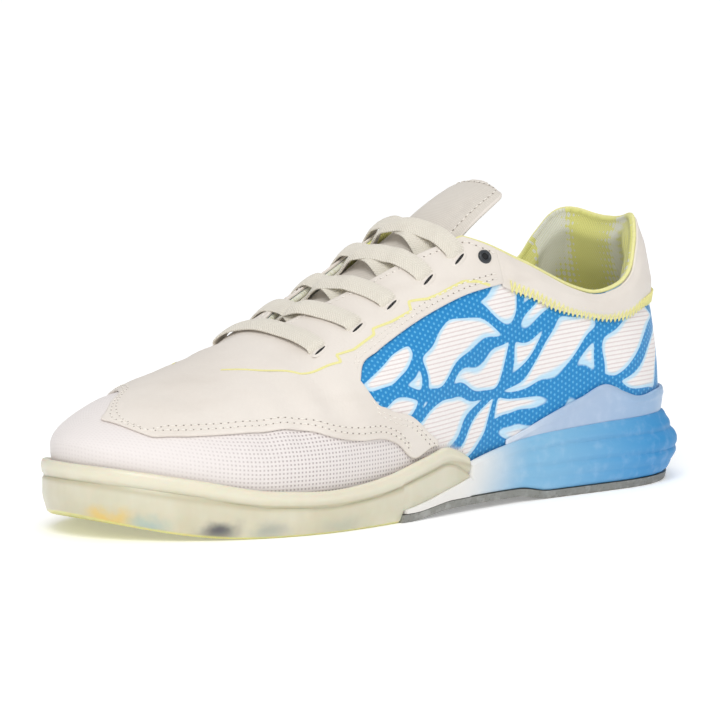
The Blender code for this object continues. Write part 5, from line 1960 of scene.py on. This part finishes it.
@dataclass
class Laces:
    """Flat laces, a bar and four crossings, with the slits that they enter."""

    width: float = 0.0070
    thickness: float = 0.0011
    inset: float = 0.0050
    pitch: float = 0.030
    under: float = 0.0029
    lift: float = 0.0025
    sag: float = 0.0009

    def _ribbon(self, t: Array, y: Array, offset: Array, twist: float = 0.0) -> Sheet:
        """Grid of one strap along a line beside the ridge."""
        side = np.where(y < 0, -1, 1)
        centre = np.empty((len(t), 3))
        up = np.empty((len(t), 3))
        for sign in (-1, 1):
            mask = side == sign
            row = LAST.distance_row(t[mask], sign, np.abs(y[mask]))
            centre[mask] = LAST.skin(t[mask], sign, row, offset[mask])
            up[mask] = LAST.normal(t[mask], sign, row)
        kernel = np.ones(7) / 7
        for k in range(3):
            padded = np.pad(up[:, k], 3, mode="edge")
            up[:, k] = np.convolve(padded, kernel, mode="valid")
        along = unit(np.gradient(centre, axis=0))
        up = unit(up - along * (up * along).sum(-1, keepdims=True))
        aside = np.cross(along, up)
        u = lengths(centre)
        w = np.linspace(-1, 1, 11)
        turn = (twist * np.sin(u / u[-1] * math.pi))[:, None, None]
        aside, up = aside[:, None, :], up[:, None, :]
        across = aside * np.cos(turn) + up * np.sin(turn)
        rise = up * np.cos(turn) - aside * np.sin(turn)
        crown = (1 - w ** 2)[None, :, None] * 0.00035
        body = centre[:, None, :] + across * (w * self.width / 2)[None, :, None]
        thick = (self.thickness / 2 * (1 - 0.25 * np.abs(w) ** 4))[None, :, None]
        outer = body + rise * (thick + crown)
        inner = body - rise * (thick - crown)
        uv = np.stack(np.broadcast_arrays(u[:, None], w[None, :] * self.width / 2), -1)
        sheet = Sheet(rim_steps=2)
        sheet.grid(outer, inner, uv)
        return sheet

    def build(self, finishes: Finishes) -> list[bpy.types.Object]:
        """Makes the straps."""
        pieces = []
        n = 90
        u = np.linspace(0, 1, n)
        place, outer, inner = LACE_ROWS[0]
        y = (-outer + (outer + inner) * u) * LAST.ball
        y = np.where(np.abs(y) < 1e-5, 1e-5, y)
        dip = smooth((0.055 - np.minimum(u, 1 - u)) / 0.055)
        offset = self.lift + 0.0003 * np.sin(u * 9) ** 2 - (self.lift + 0.0002) * dip ** 2
        t = LAST.at(np.full(n, place) + 0.0012 * np.sin(u * math.pi))
        sheet = self._ribbon(t, y, offset)
        pieces.append(keep(sheet.build("lace_1", [finishes.lace]), "lace_cloth", "lace_bar_1"))
        for number, (place, outer, inner) in enumerate(LACE_ROWS[1:], start=2):
            end_place = place + self.pitch
            t_end = np.array(float(LAST.at(end_place)))
            for side, slit, twist in ((Side.OUTER, -outer, 0.10), (Side.INNER, inner, -0.06)):
                other = -side
                slip = (float(LAST.throat(t_end, other)) + 0.0035) * other
                y = slit * LAST.ball + (slip - slit * LAST.ball) * u
                y = np.where(np.abs(y) < 1e-5, 1e-5 * other, y)
                bow = 0.0022 * np.sin(u * math.pi)
                bend = 1 if side < 0 else -0.4
                t = LAST.at(place + (end_place - place) * u + bow * bend * 0.3)
                dive = smooth((0.07 - u) / 0.07) ** 2
                slide = smooth((u - 0.66) / 0.26)
                hump = np.exp(-((u - 0.50) / 0.13) ** 2) * (0.0006 if side < 0 else -0.0008)
                edge = LAST.throat(t, side)
                inside = np.where(y * side > 0, edge - np.abs(y), edge)
                taut = self.sag * smooth((inside - 0.0015) / 0.006)
                offset = self.lift + hump - taut + 0.0002 * np.sin(u * 7 + number)
                offset = offset - (offset + 0.0002) * dive
                offset = offset + (-self.under - offset) * slide
                sheet = self._ribbon(t, y, offset, twist)
                name = f"lace_{number}_{'outer' if side < 0 else 'inner'}"
                made = sheet.build(name, [finishes.lace])
                pieces.append(keep(made, "lace_cloth", f"lace_cross_{number}"))
        return pieces

    def slit_frame(self, place: float, y: float, offset: float) -> tuple[Array, ...]:
        """Centre and directions of a slit: across the lace, along it and up."""
        side = -1 if y < 0 else 1
        t = np.array([float(LAST.at(place))])
        row = LAST.distance_row(t, side, np.abs(np.array([y])))
        centre = LAST.skin(t, side, row, offset)[0]
        up = LAST.normal(t, side, row)[0]
        ahead = np.array([-self.pitch * LAST.length, -y * 1.7, 0.0])
        ahead = unit(ahead - up * ahead.dot(up))
        return centre, np.cross(up, ahead), ahead, up

    def build_slits(self, finishes: Finishes, top: float) -> list[bpy.types.Object]:
        """Makes the slits, as dark ovals painted as the shade inside them, and their pressed
        rims, in one piece each.
        """
        holes, rims = Sheet(rim_steps=1), Sheet(rim_steps=1)
        angles = np.linspace(0, 2 * math.pi, 37)
        for number, (place, outer, inner) in enumerate(LACE_ROWS):
            for y in (-outer * LAST.ball, inner * LAST.ball):
                centre, across, ahead, up = self.slit_frame(place, y, top)
                if number == 0:
                    ahead = np.cross(across, up)
                centre = centre - ahead * 0.0004

                def oval(long: float, short: float, lift: float) -> Array:
                    """Points of an oval round the slit."""
                    x = np.sign(np.cos(angles)) * np.abs(np.cos(angles)) ** 0.8 * long
                    y = np.sin(angles) * short
                    return centre + across * x[:, None] + ahead * y[:, None] + up * lift

                zero = np.zeros((2, len(angles), 2))
                # Dark filled oval: painted shade inside the slit
                shade_oval = np.stack([oval(0.0031, 0.0005, 0.00012), oval(0.0001, 0.0001, 0.00012)])
                holes.grid(shade_oval, shade_oval - up * 0.0001, zero)
                rings = np.stack([oval(0.0031 + d, 0.0005 + d, h) for d, h in
                                  ((0.0, 0.0001), (0.0003, 0.0004), (0.0008, 0.0004),
                                   (0.0012, 0.0001))])
                rims.grid(rings, rings - up * 0.0003, np.zeros((4, len(angles), 2)),
                          dots=np.zeros((4, len(angles))))
        return [keep(holes.build("slit_shade_ovals", [finishes.black]), "black_metal"),
                keep(rims.build("slit_rims", [finishes.skin]), "smooth_white")]


@dataclass
class Eyelets:
    """Round rimmed spare lace holes behind the top slits."""

    place: float = 0.3845
    drops: tuple = (0.0059, 0.0065)
    hole: float = 0.0026
    rim: float = 0.0013

    def build(self, finishes: Finishes, top: float) -> list[bpy.types.Object]:
        """Makes the rings, with dark discs painted as the shade inside their holes."""
        pieces = []
        for side, node, drop in ((Side.OUTER, "eyelet_outer", self.drops[0]),
                                 (Side.INNER, "eyelet_inner", self.drops[1])):
            t = np.array([float(LAST.at(self.place))])
            edge = LAST.top_row(t, side)
            row = edge - drop / LAST.row_length(t, side, edge - 0.03)
            centre = LAST.skin(t, side, row, top)[0]
            up = LAST.normal(t, side, row)[0]
            along = unit(np.cross(up, np.array([0.0, 1.0, 0.0])))
            aside = np.cross(up, along)
            angles = np.linspace(0, 2 * math.pi, 49)
            rings = []
            inner, whole = self.hole / 2, self.hole / 2 + self.rim
            for arm, lift in ((inner, 0.0001), (inner + 0.0002, 0.00062),
                              (inner + self.rim * 0.5, 0.00075), (whole - 0.0002, 0.0005),
                              (whole, 0.00005)):
                ring = (centre + along * (np.cos(angles) * arm)[:, None]
                        + aside * (np.sin(angles) * arm)[:, None] + up * lift)
                rings.append(ring)
            outer = np.stack(rings)
            sheet = Sheet(rim_steps=1)
            sheet.grid(outer, outer - up * 0.0003, np.zeros(outer.shape[:2] + (2,)))
            piece = sheet.build(f"{node}_ring", [finishes.ring])
            pieces.append(keep(piece, "black_metal", node))
            # Dark disc across the hole: painted shade inside it
            shade_disc = np.stack([rings[0], rings[0] * 0.02 + centre * 0.98 + up * 0.00005])
            sheet = Sheet(rim_steps=1)
            sheet.grid(shade_disc, shade_disc - up * 0.0001, np.zeros(shade_disc.shape[:2] + (2,)))
            piece = sheet.build(f"{node}_hole", [finishes.black])
            pieces.append(keep(piece, "black_metal"))
        return pieces


@dataclass
class Trim:
    """Stitching, piping and flat print."""

    overlay: Overlay
    band: CollarBand
    clip: HeelClip
    tongue: Tongue

    PITCH = 0.0027      # from one stitch to the next
    # Printed line round the lace slits: place, distance from the ridge (share of the ball)
    LINE = ((0.7654, 0.145), (0.7475, 0.203), (0.7161, 0.303), (0.6978, 0.356), (0.6762, 0.373),
            (0.6571, 0.383), (0.6420, 0.393), (0.6400, 0.362), (0.6158, 0.375), (0.5790, 0.362),
            (0.5755, 0.343), (0.5480, 0.350), (0.5150, 0.347), (0.5110, 0.320), (0.4865, 0.336),
            (0.4674, 0.336), (0.4271, 0.327), (0.4070, 0.332), (0.3879, 0.340))

    def sew(self, finishes: Finishes) -> list[bpy.types.Object]:
        """Sews the rows of stitches."""
        graph = stitch_graph()
        rows: list[tuple[Array, Array]] = []
        for inside in (0.0019, 0.0040):
            rows.append(self.overlay.front_line(inside))
        for side in Side:
            for inside in (0.0018, 0.0038):
                rows.append(self.overlay.line(self.overlay.mesh_top, side, 0.378, 0.626, inside))
            rows.append(self.overlay.line(self.overlay.mesh_low, side, 0.524, 0.628, -0.0018))
            rows.append(self.overlay.line(self.overlay.mesh_low, side, 0.534, 0.624, -0.0036))
            rows.append(self.overlay.line(self.overlay.high, side, 0.372, 0.640, -0.0020))
        rows.append(self.tongue.stitches())
        raised = [(line + up * 0.00008, up) for line, up in rows]
        thread = graph.apply("seam_stitches", path_mesh("seam_stitches_path", raised),
                             finishes.thread, Pitch=self.PITCH, Length=0.0019, Width=0.00055,
                             Height=0.00045)
        shifted = []
        for line, up in rows:
            run = lengths(line)
            at = np.minimum(run + self.PITCH / 2, run[-1])
            moved = np.stack([np.interp(at, run, line[:, k]) for k in range(3)], -1)
            shifted.append((moved + up * 0.00001, up))
        # Dark marks between the stitches: painted shade of the needle holes
        holes = graph.apply("needle_holes", path_mesh("needle_holes_path", shifted),
                            finishes.needle_hole, Pitch=self.PITCH, Length=0.0007, Width=0.0006,
                            Height=0.00016)
        return [keep(thread, "smooth_white"), keep(holes, "smooth_white")]

    def zigzag(self, finishes: Finishes) -> bpy.types.Object:
        """Sews the yellow zigzag over the lower edge of the collar band."""
        runs = []
        for side in Side:
            a = np.linspace(0.0, float(LAST.blend_in(LAST.at(0.358))), 1200)
            t = LAST.blend_out(a)
            low = self.band.low(t, side)
            line = LAST.skin(t, side, low, 0.0015)
            marks = np.arange(0.0006, lengths(line)[-1], 0.0011)
            tm = np.interp(marks, lengths(line), t)
            lows = self.band.low(tm, side)
            swing = np.where(np.arange(len(marks)) % 2 == 0, 0.0026, -0.0015)
            p = lows + swing / LAST.row_length(tm, side, lows)
            lift = np.where(swing > 0, 0.0021, 0.0007)
            runs.append((LAST.skin(tm, side, p, lift), LAST.normal(tm, side, p)))
        graph = tube_graph()
        piece = graph.apply("collar_zigzag", path_mesh("collar_zigzag_path", runs),
                            finishes.yellow_thread, Radius=0.00030, Spacing=0.00055)
        return keep(piece, "smooth_white")

    def pipe(self, finishes: Finishes) -> bpy.types.Object:
        """Lays the yellow piping along the collar line."""
        lines = []
        for side in Side:
            t = LAST.blend_out(np.linspace(0.0, float(LAST.blend_in(LAST.at(0.415))), 300))
            row = LAST.top_row(t, side)
            lines.append(LAST.skin(t, side, row, -0.0004) + np.array([0, 0, 0.0006]))
        line = np.concatenate([lines[0][::-1], lines[1][1:]])
        up = np.tile(np.array([0.0, 0.0, 1.0]), (len(line), 1))
        piece = tube_graph().apply("collar_piping", path_mesh("collar_piping_path", [(line, up)]),
                                   finishes.piping, Radius=0.0008, Spacing=0.0012)
        return keep(piece, "lining")

    def _strip(self, sheet: Sheet, t: Array, side: int, p: Array, width: float,
               lift: float, thick: float) -> None:
        """Adds a flat strip along a line on the overlay."""
        centre = LAST.skin(t, side, p, lift)
        up = LAST.normal(t, side, p)
        aside = unit(np.cross(np.gradient(centre, axis=0), up))
        w = np.array([-1.0, 0.0, 1.0]) * width / 2
        outer = centre[:, None, :] + aside[:, None, :] * w[None, :, None]
        sheet.grid(outer, outer - up[:, None, :] * thick, np.zeros(outer.shape[:2] + (2,)))

    def print_line(self, finishes: Finishes) -> bpy.types.Object:
        """Prints the thin yellow line round the slits on both sides."""
        sheet = Sheet(rim_steps=1, bulge=0.5)
        table = np.array(self.LINE)
        run = np.concatenate([[0.0], np.cumsum(np.hypot(np.diff(table[:, 0]) * 2.86,
                                                        np.diff(table[:, 1])))])
        at = np.linspace(0, run[-1], 420)
        soft = 7
        kernel = np.hanning(soft + 2)[1:-1]
        kernel /= kernel.sum()

        def eased(values: Array) -> Array:
            """Rounds the corners of the line."""
            padded = np.pad(np.interp(at, run, values), soft // 2, mode="edge")
            return np.convolve(padded, kernel, mode="valid")

        place, distance = eased(table[:, 0]), eased(table[:, 1])
        for side in Side:
            # The inner line ends in front of the open mesh
            share, shown = (1.0, place > 0.0) if side < 0 else (0.80, place > 0.655)
            t = LAST.at(place[shown])
            p = LAST.distance_row(t, side, distance[shown] * share * LAST.ball)
            self._strip(sheet, t, side, p, 0.0011, self.overlay.top + 0.00010, 0.00008)
        piece = sheet.build("yellow_line", [finishes.yellow_print])
        return keep(piece, "smooth_white")

    def print_bars(self, finishes: Finishes) -> bpy.types.Object:
        """Prints the row of slanted bars on the inner side."""
        sheet = Sheet(rim_steps=1, bulge=0.5)
        for number in range(8):
            place = 0.712 - 0.0305 * number
            length = 0.010 + 0.0021 * number
            t0 = LAST.at(np.linspace(place, place + 0.012 + 0.001 * number, 14))
            edge = LAST.distance_row(t0, 1, 0.34 * LAST.ball + 0.0012 * number)
            down = np.linspace(0, 1, 14) * length
            p = edge - down / LAST.row_length(t0, 1, edge)
            self._strip(sheet, t0, 1, p, 0.0046, self.overlay.top + 0.00018, 0.00016)
        piece = sheet.build("blue_bars", [finishes.blue_print])
        return keep(piece, "smooth_white")


@dataclass
class Studio:
    """Pale floor, soft light and the camera at the photograph's angle."""

    azimuth: float = -40.0
    elevation: float = 7.1
    distance: float = 2.4
    station: tuple = (-0.1389, 0.0328)
    aim: tuple = (-0.0837, 0.0441)
    focal_pixels: float = 6330.0
    frame_pixels: float = 720.0
    reach: float = 9.0

    def axes(self) -> tuple[Vector, Vector, Vector]:
        """Directions to the right, up and back towards the camera."""
        turn, tilt = math.radians(self.azimuth), math.radians(self.elevation)
        back = Vector((math.sin(turn) * math.cos(tilt), -math.cos(turn) * math.cos(tilt),
                       math.sin(tilt)))
        right = Vector((math.cos(turn), math.sin(turn), 0.0))
        return right, back.cross(right), back

    def build_camera(self) -> None:
        """Makes the camera, which looks at the middle of the shoe."""
        right, up, back = self.axes()
        spot = back * self.distance + right * self.station[0] + up * self.station[1]
        target = right * self.aim[0] + up * self.aim[1]
        camera = bpy.data.cameras.new("camera")
        camera.sensor_width = 36.0
        camera.lens = camera.sensor_width * self.focal_pixels / self.frame_pixels
        camera.clip_end = 50.0
        holder = bpy.data.objects.new("camera", camera)
        holder.location = spot
        holder.rotation_mode = "QUATERNION"
        holder.rotation_quaternion = (target - spot).to_track_quat("-Z", "Y")
        bpy.context.scene.collection.objects.link(holder)
        bpy.context.scene.camera = holder

    def build_floor(self) -> None:
        """Makes the floor."""
        bench = Bench("studio floor")
        haze = bench.noise(bench.place(), 3.0, 1.0)
        shade = bench.mix(haze, (0.90, 0.90, 0.90), (0.94, 0.94, 0.94))
        finish = bench.close(base_color=shade, roughness=0.8, specular_ior_level=0.2,
                             emission_color=(1.0, 1.0, 1.0, 1.0), emission_strength=0.24)
        mesh = bpy.data.meshes.new("floor")
        r = self.reach
        mesh.from_pydata([(-r, -r, 0), (r, -r, 0), (r, r, 0), (-r, r, 0)], [], [(0, 1, 2, 3)])
        mesh.materials.append(finish)
        floor = bpy.data.objects.new("floor", mesh)
        bpy.context.scene.collection.objects.link(floor)

    def build_lights(self) -> None:
        """Makes the sky, a broad key light and softer fills."""
        scene = bpy.context.scene
        scene.view_settings.view_transform = "Standard"
        world = bpy.data.worlds.new("studio")
        scene.world = world
        world.use_nodes = True
        sky = world.node_tree.nodes["Background"]
        sky.inputs["Color"].default_value = (0.98, 0.99, 1.0, 1.0)
        sky.inputs["Strength"].default_value = 0.50
        for name, place, wide, power in (("key", (-0.70, -0.55, 1.10), 30.0, 1.05),
                                         ("rear", (0.70, 0.30, 1.20), 50.0, 0.45)):
            light = bpy.data.lights.new(name, "SUN")
            light.energy = power
            light.angle = math.radians(wide)
            lamp = bpy.data.objects.new(name, light)
            lamp.rotation_mode = "QUATERNION"
            lamp.rotation_quaternion = (-Vector(place)).to_track_quat("-Z", "Y")
            scene.collection.objects.link(lamp)
        panel = bpy.data.lights.new("panel", "AREA")
        panel.energy = 4.0
        panel.size = 0.9
        lamp = bpy.data.objects.new("panel", panel)
        lamp.location = (-0.75, -0.85, 0.75)
        lamp.rotation_mode = "QUATERNION"
        lamp.rotation_quaternion = (Vector((-0.12, 0.0, 0.05)) - lamp.location).to_track_quat(
            "-Z", "Y")
        scene.collection.objects.link(lamp)

    def build(self) -> None:
        """Makes the whole studio."""
        self.build_floor()
        self.build_lights()
        self.build_camera()


def main() -> None:
    """Builds every piece of the shoe and the studio."""
    logging.basicConfig(level=logging.INFO, format="%(message)s")
    finishes = Finishes.make()
    overlay = Overlay()
    band = CollarBand()
    clip = HeelClip()
    sole = Sole()
    tongue = Tongue()
    laces = Laces()
    Upper().build(finishes)
    overlay.build(finishes)
    band.build(finishes)
    clip.build(finishes)
    sole.build_cup(finishes)
    sole.build_foam(finishes)
    sole.build_tread(finishes)
    Insole().build(finishes)
    tongue.build(finishes)
    laces.build(finishes)
    laces.build_slits(finishes, overlay.top)
    Eyelets().build(finishes, overlay.top)
    trim = Trim(overlay, band, clip, tongue)
    trim.sew(finishes)
    trim.zigzag(finishes)
    trim.pipe(finishes)
    trim.print_line(finishes)
    trim.print_bars(finishes)
    Studio().build()


if __name__ == "__main__":
    main()
